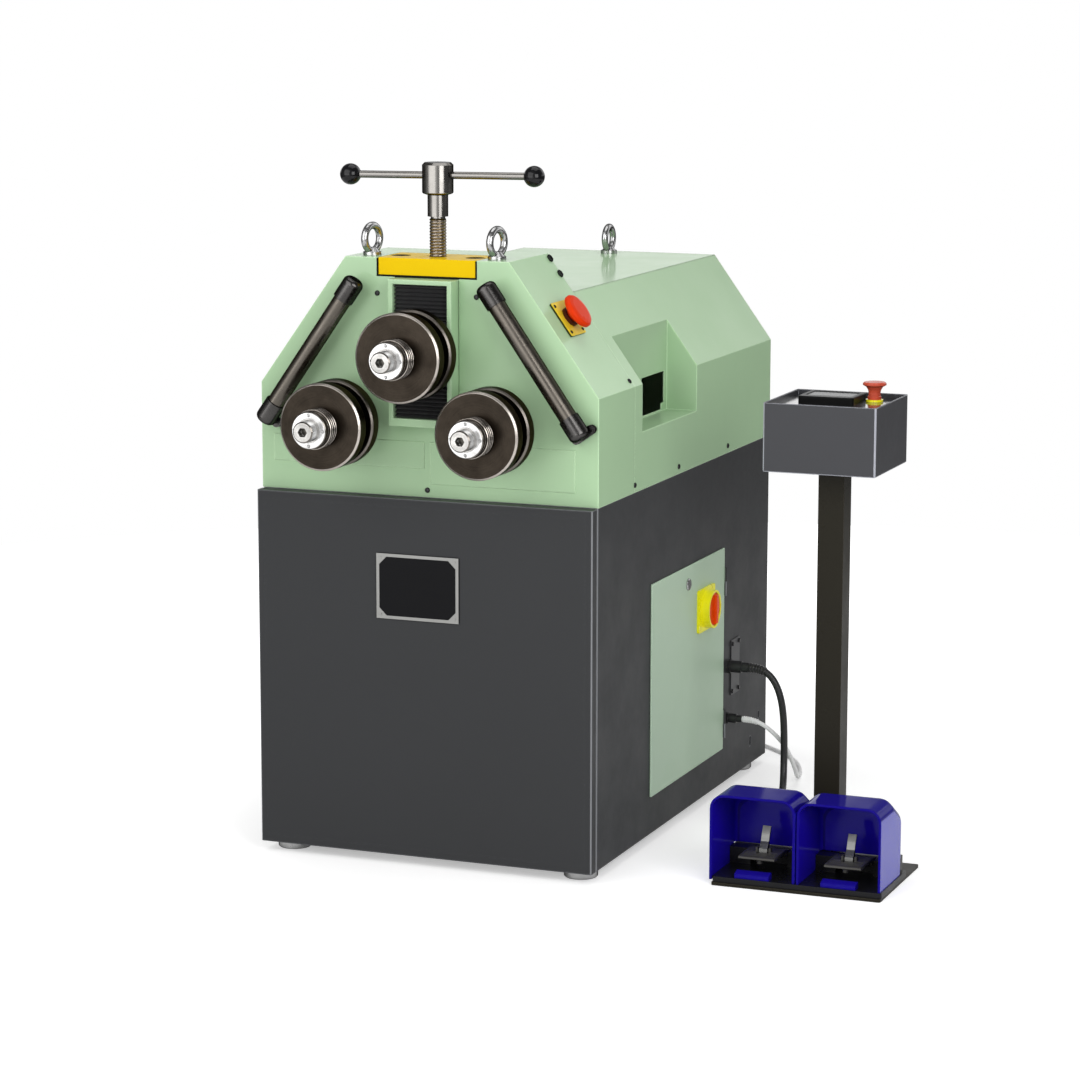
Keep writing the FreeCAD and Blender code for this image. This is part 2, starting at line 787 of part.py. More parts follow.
def rear_hood():
    body = new_body("rear_hood")
    outline = hood_outline("hood_half", REAR_RIDGE_HALF, "rear_ridge")
    inner = hood_outline("hood_half", REAR_RIDGE_HALF, "rear_ridge", "hood_wall")
    pad(body, "XZ_Plane", [outline], "front_hood_deep", "hood_back")
    pocket(body, "XZ_Plane", [inner], "front_hood_deep", "hood_back - hood_wall")
    # side notches, first as blocks of sheet and then cut out
    inside = "(notch_side - hood_wall)"
    block = [(inside, "notch_floor - hood_wall"), ("hood_half", "notch_floor - hood_wall"),
             ("hood_half", "eave"), (inside, "eave + (hood_half - %s) * %s" % (inside, HOOD_SLOPE))]
    pad(body, "XZ_Plane", both_sides([block]), "notch_front - hood_wall", "notch_back + hood_wall")
    notch = rectangle("notch_side", "notch_floor", "hood_half + 2", "rear_ridge")
    pocket(body, "XZ_Plane", both_sides([notch]), "notch_front", "notch_back")
    # windows in the notch walls
    sill = "notch_floor + 3"
    window = [[("window_front", sill), ("window_back - 14", sill), ("window_back - 14", sill + " + 11"),
               ("window_back", sill + " + 11"), ("window_back", "window_high"),
               ("window_front", "window_high")]]
    pocket(body, "YZ_Plane", window, inside, "notch_side")
    pocket(body, "YZ_Plane", window, "-notch_side", "-" + inside)
    pocket(body, "XY_Plane", [circle("0", "rear_eye_along", "6.5")],
           "rear_ridge - hood_wall", "rear_ridge")


def eye_bolts():
    """Lifting eyes; the front two are turned a little, the rear one faces the sides."""
    places = [("eye_side", "eye_along", "ridge", "-eye_turn"),
              ("-eye_side", "eye_along", "ridge", "-eye_turn"),
              ("0", "rear_eye_along", "rear_ridge", "0")]
    bolts = []
    for x, y, seat, turn in places:
        shank = primitive("Cylinder", "shank", {"Radius": "6", "Height": "20"}, x, y, seat + " - 20")
        flange = primitive("Cylinder", "flange", {"Radius": "eye_seat", "Height": "6"}, x, y, seat)
        neck = primitive("Cone", "neck", {"Radius1": "eye_seat - 2", "Radius2": "7", "Height": "7"},
                         x, y, seat + " + 6")
        upright = Rotation(Vector(0, 0, 1), number(turn)).multiply(Rotation(Vector(0, 1, 0), -90))
        eye = primitive("Torus", "eye", {"Radius1": "eye_ring", "Radius2": "eye_thick"},
                        x, y, seat + " + eye_ring + eye_thick + 1",
                        upright.Axis, math.degrees(upright.Angle))
        bolts.append(fused("eye_bolt", [shank, flange, neck, eye]))
    group("eye_bolts", bolts)


# ------------------------------------------------------------------ guide bars

GUIDE_RUN = "(guide_low_side - guide_top_side)"
GUIDE_RISE = "(guide_top - guide_low)"
GUIDE_LONG = "(sqrt(%s^2 + %s^2))" % (GUIDE_RUN, GUIDE_RISE)


def on_guide(up, across="0"):
    """A point in the right-hand bar's plane, up its axis from the low end and across it."""
    x = "(guide_low_side - (%s) * %s / %s + (%s) * %s / %s)" % (
        up, GUIDE_RUN, GUIDE_LONG, across, GUIDE_RISE, GUIDE_LONG)
    z = "(guide_low + (%s) * %s / %s + (%s) * %s / %s)" % (
        up, GUIDE_RISE, GUIDE_LONG, across, GUIDE_RUN, GUIDE_LONG)
    return x, z


def guide_stud_places():
    """Two studs beside the lower end of each bar and one behind the upper end."""
    right = [on_guide("lug_up", "lug_side"), on_guide("lug_up", "-lug_side"),
             on_guide(GUIDE_LONG + " - sleeve_long / 2")]
    return right + [("-" + x, z) for x, z in right]


def guide_sleeve(sign, up, turn, mouth, cap):
    """A sleeve with a rounded closed end; its bore starts at the mouth's side."""
    x, z = on_guide(up)
    outer = primitive("Cylinder", "sleeve", {"Radius": "sleeve_radius", "Height": "sleeve_long"},
                      sign + x, "guide_along", z, *turn)
    dome = doc.addObject("Part::Fillet", "sleeve_end")
    dome.Base = outer
    doc.recompute()
    level = on_guide(cap)
    end = Vector(number(sign + level[0]), number("guide_along"), number(level[1]))
    dome.Edges = [(k + 1, 9.0, 9.0) for k, edge in enumerate(outer.Shape.Edges)
                  if edge.Closed and (edge.CenterOfMass - end).Length < 1]
    x, z = on_guide(mouth)
    bore = primitive("Cylinder", "bore", {"Radius": "guide_radius", "Height": "sleeve_long - sleeve_cap"},
                     sign + x, "guide_along", z, *turn)
    return cut("sleeve_bored", dome, bore)


def guide_bars():
    """Bars that lean outward in front of the hood, in sleeves carried by studs."""
    bars = []
    brackets = []
    for sign in ("", "-"):
        lean = number("atan(%s / %s)" % (GUIDE_RUN, GUIDE_RISE))
        turn = (Vector(0, 1, 0), lean if sign else -lean)
        x, z = on_guide("sleeve_cap")
        bars.append(primitive("Cylinder", "bar", {"Radius": "guide_radius",
                                                  "Height": GUIDE_LONG + " - 2 * sleeve_cap"},
                              sign + x, "guide_along", z, *turn))
        lower = guide_sleeve(sign, "0", turn, "sleeve_cap", "0")
        upper = guide_sleeve(sign, GUIDE_LONG + " - sleeve_long", turn,
                             GUIDE_LONG + " - sleeve_long", GUIDE_LONG)
        studs = []
        for k, (x, z) in enumerate(guide_stud_places()[:3]):
            start = "guide_along + guide_radius + 1" if k == 2 else "-18"
            sizes = {"Radius": "5", "Height": "plate_front - (%s)" % start}
            studs.append(primitive("Cylinder", "stud", sizes, sign + x, start, z,
                                   Vector(1, 0, 0), -90))
            if k < 2:
                studs.append(primitive("Cylinder", "lug", {"Radius": "lug_radius", "Height": "8"},
                                       sign + x, "-16", z, Vector(1, 0, 0), -90))
        x, z = on_guide("lug_up - lug_radius", "lug_side" if sign else "-lug_side")
        # the web's front lies in the sleeve's wall, clear of the bar
        sizes = {"Length": "2 * lug_side", "Width": "6.8", "Height": "2 * lug_radius"}
        web = primitive("Box", "web", sizes, sign + x, "guide_along + guide_radius + 0.2", z, *turn)
        brackets.append(fused("lower_bracket", [lower, web] + studs[:4]))
        brackets.append(fused("upper_bracket", [upper, studs[4]]))
    group("guide_bars", bars)
    group("bar_brackets", brackets)


# ------------------------------------------------------------------ carriage and screw

def carriage():
    body = new_body("carriage")
    pad(body, "XZ_Plane", [rectangle("-slot_half + 0.3", "carriage_low", "slot_half - 0.3",
                                     "carriage_high")], "carriage_front", "carriage_back")
    nose = rectangle("-nose_half", "upper_up - nose_tall / 2", "nose_half", "upper_up + nose_tall / 2")
    pad(body, "XZ_Plane", [nose], "nose_front", "carriage_front")
    axis = lambda radius: [circle("0", "upper_up", radius)]
    pocket(body, "XZ_Plane", axis("shaft_radius + 2"), "nose_front", "carriage_back")
    pocket(body, "XZ_Plane", axis("bearing_radius"), "nose_front", "nose_front + bearing_wide + 6")
    pocket(body, "XZ_Plane", axis("bearing_radius"), "carriage_back - bearing_wide - 4", "carriage_back")
    # keeper in which the screw's flange turns
    keeper = lambda radius: [circle("0", "screw_along", radius)]
    pad(body, "XY_Plane", keeper("30"), "carriage_high", "carriage_high + 18")
    pocket(body, "XY_Plane", keeper("screw_radius + 0.3"), "carriage_high", "carriage_high + 18")
    pocket(body, "XY_Plane", keeper("20.5"), "carriage_high", "carriage_high + 9")
    pocket(body, "XY_Plane", keeper("10.3"), "carriage_high - 16", "carriage_high")


def carriage_bearings():
    body = new_body("carriage_bearings")
    rings = [circle("0", "upper_up", "bearing_radius"),
             circle("0", "upper_up", "shaft_radius + 0.05")]
    pad(body, "XZ_Plane", rings, "nose_front + 6", "nose_front + 6 + bearing_wide")
    pad(body, "XZ_Plane", rings, "carriage_back - bearing_wide - 4", "carriage_back - 4")


def bellows(label, low, high, folds):
    """A pleated screen: the front zigzags, the back is flat."""
    body = new_body(label)
    front = []
    for k in range(2 * folds + 1):
        level = "%s + (%s - (%s)) * %d / %d" % (low, high, low, k, 2 * folds)
        depth = "nose_front" if k % 2 else "nose_front + bellows_fold"
        front.append((depth, level))
    pad(body, "YZ_Plane", [front + [("bellows_back", high), ("bellows_back", low)]],
        "-nose_half", "nose_half")


def lift_screw():
    body = new_body("lift_screw", "0", "screw_along")
    profile = [("0", "carriage_high - 15"), ("9", "carriage_high - 15"), ("10", "carriage_high - 14"),
               ("10", "carriage_high + 0.3"), ("20", "carriage_high + 0.3"),
               ("20", "carriage_high + 8.7"), ("screw_radius - 2", "carriage_high + 8.7"),
               ("screw_radius - 2", "carriage_high + 14"), ("screw_radius", "carriage_high + 16"),
               ("screw_radius", "head_low - 42"), ("screw_radius - 2", "head_low - 40"),
               ("screw_radius - 2", "head_low - 37"), ("17", "head_low - 37"), ("17", "head_low - 2"),
               ("head_radius - 2", "head_low"), ("head_radius", "head_low + 2"),
               ("head_radius", "head_high - 4"), ("head_radius - 4", "head_high"),
               ("0", "head_high")]
    turned(body, [profile])
    # cross bore for the tommy bar, turned with it
    bore = body.newObject("PartDesign::SubtractiveCylinder", "cross_bore")
    bore.setExpression("Radius", bound("bar_radius + 0.05"))
    bore.setExpression("Height", bound("4 * head_radius"))
    turn = Rotation(Vector(0, 0, 1), number("bar_turn")).multiply(Rotation(Vector(0, 1, 0), 90))
    start = Rotation(Vector(0, 0, 1), number("bar_turn")).multVec(Vector(-2 * number("head_radius"), 0, 0))
    bore.Placement = FreeCAD.Placement(start + Vector(0, 0, number("bar_up")), turn)
    bore.setExpression("Placement.Base.z", bound("bar_up"))


def tommy_bar():
    body = new_body("tee_bar", "0", "screw_along", "bar_up", Vector(0, 0, 1), number("bar_turn"))
    pad(body, "YZ_Plane", [circle("0", "0", "bar_radius")],
        "bar_shift - bar_half - 8", "bar_shift + bar_half + 8")
    balls = []
    for sign in (-1, 1):
        reach = "(bar_shift + %d * bar_half)" % sign
        x = "%s * cos(bar_turn)" % reach
        y = "screw_along + %s * sin(bar_turn)" % reach
        ball = primitive("Sphere", "ball", {"Radius": "ball_radius"}, x, y, "bar_up",
                         Vector(0, 0, 1), number("bar_turn"))
        socket = primitive("Cylinder", "socket", {"Radius": "bar_radius", "Height": "ball_radius + 8"},
                           "%s - %d * ball_radius * cos(bar_turn)" % (x, sign),
                           "%s - %d * ball_radius * sin(bar_turn)" % (y, sign), "bar_up")
        socket.Placement.Rotation = Rotation(Vector(0, 0, 1), number("bar_turn")).multiply(
            Rotation(Vector(0, 1, 0), 90 * sign))
        balls.append(cut("ball_bored", ball, socket))
    group("tee_bar_balls", balls)


# ------------------------------------------------------------------ roll shafts

def roll_shaft(hand, x, z, rear_end):
    """Journals, collar and threaded tip; heights run from the hood front to the operator."""
    body = facing_front(hand + "_shaft", x, z)
    nut_high = STACK_TIP + " - tip_long"
    profile = [("0", "-(%s)" % rear_end), ("shaft_radius - 1", "-(%s)" % rear_end),
               ("shaft_radius", "-(%s) + 1" % rear_end), ("shaft_radius", "shaft_step"),
               ("shaft_radius + 5", "shaft_step"), ("shaft_radius + 5", "shaft_step + collar_wide"),
               ("journal_radius", "shaft_step + collar_wide"), ("journal_radius", nut_high),
               ("tip_radius", nut_high), ("tip_radius", STACK_TIP + " - 2"),
               ("tip_radius - 2", STACK_TIP), ("0", STACK_TIP)]
    turned(body, [profile])
    pocket(body, "XY_Plane", [polygon("0", "0", "8.1", 6)], STACK_TIP + " - 12", STACK_TIP)


def roll_discs(hand, x, z, radius):
    body = facing_front(hand + "_roll_discs", x, z)
    rear = "shaft_step + collar_wide + rear_spacer"
    front = rear + " + disc_wide + core_wide"
    turned(body, [ring("journal_radius", radius, start, start + " + disc_wide", "edge_break")
                  for start in (rear, front)])


def roll_spacers(hand, x, z):
    body = facing_front(hand + "_roll_spacers", x, z)
    rear = "shaft_step + collar_wide"
    core = rear + " + rear_spacer + disc_wide"
    loops = [ring("journal_radius", "core_radius - 5", rear, rear + " + rear_spacer", "1"),
             ring("journal_radius", "core_radius", core, core + " + core_wide")]
    # four washers side by side, a bevel between each pair
    washers = core + " + core_wide + disc_wide"
    stack = [("journal_radius", washers)]
    for k in range(4):
        low = "%s + %d * washer_wide" % (washers, k)
        stack += [("washer_radius - 0.9", low), ("washer_radius", low + " + 0.9"),
                  ("washer_radius", low + " + washer_wide - 0.9")]
    stack += [("washer_radius - 0.9", washers + " + 4 * washer_wide"),
              ("journal_radius", washers + " + 4 * washer_wide")]
    turned(body, loops + [stack])


def roll_nut(hand, x, z):
    body = facing_front(hand + "_ring_nut", x, z)
    high = STACK_TIP + " - tip_long"
    turned(body, [ring("journal_radius", "nut_radius", high + " - nut_wide", high, "1.5")])
    hole = pocket(body, "XY_Plane", [circle("(journal_radius + nut_radius) / 2", "0", "2.6")],
                  high + " - 8", high)
    repeat_round(body, hole, 4)


def roll_set(hand, x, z, radius, rear_end):
    roll_shaft(hand, x, z, rear_end)
    roll_discs(hand, x, z, radius)
    roll_spacers(hand, x, z)
    roll_nut(hand, x, z)


# ------------------------------------------------------------------ gears

def involute_point(base, radius, turn):
    """A point of an involute at one radius, its start turned by an angle."""
    unrolled = math.sqrt(max((radius / base) ** 2 - 1, 0))
    angle = turn + unrolled - math.atan(unrolled)
    return Vector(radius * math.cos(angle), radius * math.sin(angle), 0)


def turn_point(point, angle):
    return Rotation(Vector(0, 0, 1), math.degrees(angle)).multVec(point)


def tooth_flank(teeth):
    """Root point and three flank points of half a tooth whose middle lies on +X."""
    module = number("gear_module")
    pitch = module * teeth / 2
    base = pitch * math.cos(math.radians(20))
    tip = pitch + module
    root = pitch - 1.25 * module
    start = max(base, root)
    at_pitch = math.tan(math.radians(20)) - math.radians(20)
    half_tooth = (math.pi * module / 2 - number("gear_backlash") / 2) / (2 * pitch)
    turn = -half_tooth - at_pitch
    flank = [involute_point(base, radius, turn) for radius in (start, (start + tip) / 2, tip)]
    foot = turn_point(Vector(root, 0, 0), math.atan2(flank[0].y, flank[0].x))
    return foot, flank


def gear_wire(teeth, phase):
    """Outline of an involute gear in the XY plane; phase turns one tooth's middle from +X."""
    foot, flank = tooth_flank(teeth)
    corners = []
    for k in range(teeth):
        middle = phase + 2 * math.pi * k / teeth
        right = [turn_point(point, middle) for point in [foot] + flank]
        left = [turn_point(Vector(point.x, -point.y, 0), middle) for point in [foot] + flank]
        corners.append((right, left))
    edges = []
    undercut = (foot - flank[0]).Length > 1e-6
    for k, (right, left) in enumerate(corners):
        following = corners[(k + 1) % teeth][0]
        if undercut:
            edges.append(Part.LineSegment(right[0], right[1]).toShape())
        edges.append(Part.Arc(right[1], right[2], right[3]).toShape())
        edges.append(Part.LineSegment(right[3], left[3]).toShape())
        edges.append(Part.Arc(left[3], left[2], left[1]).toShape())
        if undercut:
            edges.append(Part.LineSegment(left[1], left[0]).toShape())
        edges.append(Part.LineSegment(left[0], following[0]).toShape())
    return Part.Wire(edges)


def gear_blank(teeth, phase, bore):
    """Gear solid that stands on Z = 0, bored."""
    wide = number("gear_back") - number("gear_front")
    solid = Part.Face(gear_wire(teeth, phase)).extrude(Vector(0, 0, wide))
    return solid.cut(Part.makeCylinder(bore, wide)) if bore else solid


def place_gear(label, shape, x, z):
    item = doc.addObject("Part::Feature", label)
    item.Shape = shape
    return stand(finish(item, label), x, "gear_back", z, Vector(1, 0, 0), 90)


def gears():
    """Both shaft gears mesh with the pinion below and between them."""
    big = int(number("gear_teeth"))
    small = int(number("pinion_teeth"))
    rise = number("lower_up") - number("pinion_up")
    for hand, side in (("left", -1), ("right", 1)):
        toward = math.atan2(rise, side * number("lower_side"))
        # a gap of the gear faces the pinion where the pinion's tooth faces the gear
        pinion_phase = toward / (2 * math.pi / small)
        gear_share = 0.5 - pinion_phase
        phase = toward + math.pi - gear_share * 2 * math.pi / big
        x = "lower_side" if side == 1 else "-lower_side"
        shape = gear_blank(big, phase, number("shaft_radius"))
        place_gear(hand + "_gear", shape, x, "lower_up")
    shape = gear_blank(small, 0, 0)
    # shaft to the gearbox, behind the teeth
    back = number("gear_back")
    shape = shape.fuse(Part.makeCylinder(number("pinion_shaft"), 240 - back,
                                         Vector(0, 0, back - 240), Vector(0, 0, 1)))
    shape = shape.removeSplitter()
    place_gear("drive_pinion", shape, "0", "pinion_up")


# ------------------------------------------------------------------ stop button on the hood

def hood_stop():
    slope = number("atan(%s)" % HOOD_SLOPE)
    level = "eave + (hood_half - stop_side) * " + HOOD_SLOPE
    turn = (Vector(0, 1, 0), slope)
    base = new_body("hood_stop_base", "stop_side", "stop_along", level, *turn)
    half = "stop_plate / 2"
    pad(base, "XY_Plane", [centred("0", "0", half, half)], "0", "4")
    round_edges(base, "3", along("z"))
    pad(base, "XY_Plane", [circle("0", "0", "17")], "4", "11")
    round_edges(base, "1.5", at_height("11"))
    pocket(base, "XY_Plane", [circle("0", "0", "12")], "0.5", "11")
    button = new_body("hood_stop_button", "stop_side", "stop_along", level, *turn)
    turned(button, [[("0", "6"), ("11.5", "6"), ("11.5", "17"), ("stop_head - 3", "18.5"),
                     ("stop_head", "21"), ("stop_head", "26"), ("stop_head - 3", "29.5"),
                     ("stop_head - 10", "31"), ("0", "31.5")]])


# ------------------------------------------------------------------ door side

def side_door():
    body = new_body("side_door")
    face = "(cabinet_wide / 2 + door_gap)"
    outer = face + " + door_thick"
    pad(body, "YZ_Plane", [rectangle("door_front", "door_low", "door_back", "door_high")],
        face, outer)
    round_edges(body, "2", along("x"))
    # stiffening frame that enters the opening
    inset = "(door_lap + 8)"
    wide = "(door_lap + 10.5)"
    loops = [rectangle("door_front + " + gap, "door_low + " + gap, "door_back - " + gap,
                       "door_high - " + gap) for gap in (inset, wide)]
    pad(body, "YZ_Plane", loops, face + " - 12", face)
    pocket(body, "YZ_Plane", [circle("lock_along", "lock_up", "lock_radius + 0.05")], face, outer)
    pocket(body, "YZ_Plane", [circle("lock_along", "lock_up", "lock_radius + 6")],
           face + " - 12", face)
    pocket(body, "YZ_Plane", [centred("switch_along", "switch_up", "24", "24")], face, outer)
    # knuckles that hang on the pins
    for level in ("hinge_low", "hinge_high"):
        low = level + " + 0.3"
        high = level + " + knuckle_tall"
        pad(body, "XY_Plane", [circle("hinge_out", "hinge_along", "knuckle")], low, high)
        leaf = rectangle(face, "door_back - 1", outer, "hinge_along")
        pad(body, "XY_Plane", [leaf], low, high)
        pocket(body, "XY_Plane", [circle("hinge_out", "hinge_along", "hinge_pin + 0.05")],
               low, high + " - 1.5")


def switch_parts():
    face = "(cabinet_wide / 2 + door_gap + door_thick)"
    plate = new_body("switch_plate")
    middle = ("switch_along", "switch_up")
    pad(plate, "YZ_Plane", [centred(*middle, "switch_wide / 2", "switch_tall / 2")],
        face, face + " + 4")
    round_edges(plate, "5", along("x"))
    pad(plate, "YZ_Plane", [circle(*middle, "switch_collar")], face + " + 4", face + " + 19")
    pocket(plate, "YZ_Plane", [circle(*middle, "switch_knob + 0.6")], face + " + 13", face + " + 19")
    pad(plate, "YZ_Plane", [centred(*middle, "23.7", "23.7")], face + " - 48", face)
    pocket(plate, "YZ_Plane", [circle(*middle, "8")], face + " + 2", face + " + 13")
    knob = new_body("switch_knob", face, "switch_along", "switch_up", Vector(0, 1, 0), 90)
    turned(knob, [[("0", "4"), ("7.7", "4"), ("7.7", "13.4"), ("switch_knob - 1", "13.4"),
                   ("switch_knob", "14.4"), ("switch_knob", "17"), ("switch_knob - 2", "18"),
                   ("0", "18")]])
    pad(knob, "XY_Plane", [centred("0", "0", "switch_knob - 3", "6")], "18", "24")
    round_edges(knob, "2.5", at_height("24"))


def door_lock():
    face = "(cabinet_wide / 2 + door_gap + door_thick)"
    body = new_body("door_lock", face, "lock_along", "lock_up", Vector(0, 1, 0), 90)
    back = "-door_thick - 12.5"
    turned(body, [[("0", back), ("lock_radius", back), ("lock_radius", "0"), ("10.5", "0"),
                   ("10.5", "1.5"), ("9", "3"), ("0", "3")]])
    pocket(body, "XY_Plane", [centred("0", "0", "6", "1.2")], "0.5", "3")
    pad(body, "XY_Plane", [rectangle("-6", "-6", "6", "26")], back + " - 3", back)


def switchgear():
    body = new_body("switchgear")
    floor = "cabinet_low + sheet_wall"
    pad(body, "YZ_Plane", [rectangle("280", floor, "610", "430")], "180", "183")
    pad(body, "YZ_Plane", [rectangle("280", floor, "610", floor + " + 3")], "150", "180")
    # two rails, one row of contactors, the transformer and the terminals
    pad(body, "YZ_Plane", [rectangle("290", "%d" % (level - 17), "600", "%d" % (level + 17))
                           for level in (360, 200)], "183", "190")
    contactor = pad(body, "YZ_Plane", [rectangle("296", "320", "341", "400")], "190", "248")
    repeat_along(body, contactor, "Y_Axis", "141", 4)
    pad(body, "YZ_Plane", [rectangle("500", "160", "600", "250")], "183", "245")
    terminal = pad(body, "YZ_Plane", [rectangle("296", "178", "306", "222")], "190", "222")
    repeat_along(body, terminal, "Y_Axis", "168", 15)


# ------------------------------------------------------------------ cable entries and cords

def gland_plate():
    body = new_body("gland_plate")
    side = "cabinet_wide / 2"
    pad(body, "YZ_Plane", [rectangle("entry_front", "entry_low", "entry_back", "entry_high")],
        side, side + " + 2")
    round_edges(body, "2", along("x"))
    screws = [circle(y, z, "3.2") for y in ("entry_front + 6", "entry_back - 6")
              for z in ("entry_low + 8", "entry_high - 8")]
    pad(body, "YZ_Plane", screws, side + " + 2", side + " + 5")
    # gland of the control cable: hexagon, thread and dome nut
    pad(body, "YZ_Plane", [polygon("gland_along", "gland_up", "13.5", 6)], side, side + " + 8")
    pad(body, "YZ_Plane", [circle("gland_along", "gland_up", "11")], side + " + 8", side + " + 28")
    pad(body, "YZ_Plane", [circle("gland_along", "gland_up", "9")], side + " + 28", "gland_out")
    # gland of the mains cable
    pad(body, "YZ_Plane", [polygon("mains_along", "mains_up", "10.5", 6)], side, side + " + 7")
    pad(body, "YZ_Plane", [circle("mains_along", "mains_up", "8.5")], side + " + 7", side + " + 22")
    pad(body, "YZ_Plane", [circle("mains_along", "mains_up", "6.5")], side + " + 22", "mains_out")


def rounded_path(label, points):
    """Straight runs joined by the largest tangent arcs that the runs allow."""
    edges = []
    radii = []
    start = points[0]
    for before, corner, after in zip(points, points[1:], points[2:]):
        reach = CORD_ARC * min((before - corner).Length, (after - corner).Length)
        backward = Vector(before - corner).normalize()
        forward = Vector(after - corner).normalize()
        turn = math.pi - backward.getAngle(forward)
        radius = reach / math.tan(turn / 2)
        radii.append(round(radius, 1))
        inward = Vector(backward + forward).normalize()
        middle = corner + inward * (radius / math.cos(turn / 2) - radius)
        first = corner + backward * reach
        last = corner + forward * reach
        edges.append(Part.LineSegment(start, first).toShape())
        edges.append(Part.Arc(first, middle, last).toShape())
        start = last
    edges.append(Part.LineSegment(start, points[-1]).toShape())
    print(label, "radii", radii)
    return Part.Wire(edges)


def cord(label, points, radius):
    """A round cord along a rounded path."""
    path = rounded_path(label, points)
    first = points[1] - points[0]
    section = Part.Wire(Part.Circle(points[0], first, radius).toShape())
    solid = path.makePipeShell([section], True, False)
    expected = math.pi * radius ** 2 * path.Length
    print(label, "length", round(path.Length, 1), "volume ratio", round(solid.Volume / expected, 4))
    if abs(solid.Volume / expected - 1) > 0.01:
        raise ValueError(label + " has the wrong volume")
    item = doc.addObject("Part::Feature", label)
    item.Shape = solid
    return stand(finish(item, label))


def control_cable_route():
    """From the cabinet's gland down to the floor and across it to the post's gland."""
    y = number("gland_along")
    up = number("gland_up")
    end_x = number("post_left") - 20
    end_y = (number("post_front") + number("post_back")) / 2
    return [Vector(number("gland_out"), y, up), Vector(363, y, up), Vector(382, y, 220),
            Vector(395.5, y, 200), Vector(404, y, 173), Vector(408, y, 142),
            Vector(409.5, y - 0.5, 108), Vector(410, y - 1, 80), Vector(411, 666, 54),
            Vector(414, 655, 30), Vector(419, 634, 14), Vector(426, 604, 7.2),
            Vector(440, 546, 7), Vector(464, 474, 7), Vector(491, 402, 8), Vector(506, 333, 13),
            Vector(516.3, 295, 15), Vector(531.9, 276.3, 19), Vector(554, end_y, 24),
            Vector(end_x, end_y, 24)]


def mains_cable_route():
    """From the lower gland to the floor and back behind the cabinet to the coil."""
    y = number("mains_along")
    rest = number("mains_cable") + 0.2
    return [Vector(number("mains_out"), y, number("mains_up")), Vector(350, y, number("mains_up")),
            Vector(371, 665, 130), Vector(390, 675, 112), Vector(404, 692, 88),
            Vector(410, 714, 60), Vector(410, 738, 34), Vector(406, 766, 13), Vector(399, 800, rest),
            Vector(386, 850, rest), Vector(362, 905, rest), Vector(325, 955, rest),
            Vector(277, 1000, rest), Vector(233, 1036, rest)]


def cords():
    cord("control_cable", control_cable_route(), number("control_cable"))
    cord("mains_cable", mains_cable_route(), number("mains_cable"))


def mains_coil():
    """The rest of the mains cable, seven turns laid together, as one closed ring."""
    ring_item = primitive("Torus", "mains_coil", {"Radius1": "coil_radius", "Radius2": "coil_bundle"})
    stand(finish(ring_item, "mains_coil"), "coil_side", "coil_along", "coil_bundle + 0.2")


def mains_plug():
    """Five-pole industrial plug that lies on the floor, tipped up at its cable end."""
    body = new_body("mains_plug", "coil_side - 34", "coil_along + coil_radius", "24.4",
                    Vector(0, 1, 0), -84)
    turned(body, [[("0", "0"), ("9", "0"), ("11", "8"), ("20", "14"), ("27", "26"), ("27", "70"),
                   ("32", "72"), ("32", "78"), ("29", "80"), ("29", "122"), ("25", "122"),
                   ("25", "84"), ("0", "84")]])
    pin = pad(body, "XY_Plane", [circle("15", "0", "3")], "84", "116")
    repeat_round(body, pin, 5)


# ------------------------------------------------------------------ pedestal

def pedestal_stand():
    body = new_body("pedestal_stand")
    pad(body, "XY_Plane", [rectangle("pedal_left", "plate_front_edge", "pedal_right",
                                     "plate_back_edge")], "0", "foot_plate")
    round_edges(body, "4", along("z"))
    pad(body, "XY_Plane", [rectangle("post_left", "post_front", "post_right", "post_back")],
        "foot_plate", "box_low")
    pad(body, "XY_Plane", [rectangle("post_left - 30", "post_front - 30", "post_right + 30",
                                     "post_back + 30")], "box_low - 4", "box_low")
    # gland low on the post
    centre = "(post_front + post_back) / 2"
    pad(body, "YZ_Plane", [polygon(centre, "24", "12", 6)], "post_left - 8", "post_left")
    pad(body, "YZ_Plane", [circle(centre, "24", "9")], "post_left - 20", "post_left - 8")


def control_box():
    body = new_body("control_box")
    pad(body, "XY_Plane", [rectangle("box_left", "box_front", "box_right", "box_back")],
        "box_low", "box_high")
    round_edges(body, "4", along("z"))
    round_edges(body, "2", at_height("box_low"))
    pocket(body, "XY_Plane", [rectangle("box_left + 2", "box_front + 2", "box_right - 2",
                                        "box_back - 2")], "box_low + 2", "box_high")


def control_panel():
    body = new_body("control_panel")
    top = "box_high - box_recess"
    pad(body, "XY_Plane", [rectangle("box_left + 2", "box_front + 2", "box_right - 2",
                                     "box_back - 2")], top + " - 3", top)
    pocket(body, "XY_Plane", [circle("pedestal_stop_side", "pedestal_stop_along", "11.5")],
           top + " - 3", top)
    loops = [circle("pedestal_stop_side", "pedestal_stop_along", radius) for radius in ("14.5", "11.5")]
    pad(body, "XY_Plane", loops, top, top + " + 4")


def display_unit():
    body = new_body("display_unit")
    top = "box_high - box_recess"
    face = top + " + display_tall"
    pad(body, "XY_Plane", [rectangle("display_left", "display_front", "display_right",
                                     "display_back")], top, face)
    round_edges(body, "6", along("z"))
    round_edges(body, "2", at_height(face))
    # sunk screen
    pocket(body, "XY_Plane", [rectangle("display_left + display_border", "display_front + 18",
                                        "display_right - display_border",
                                        "display_back - display_border")], face + " - 1", face)


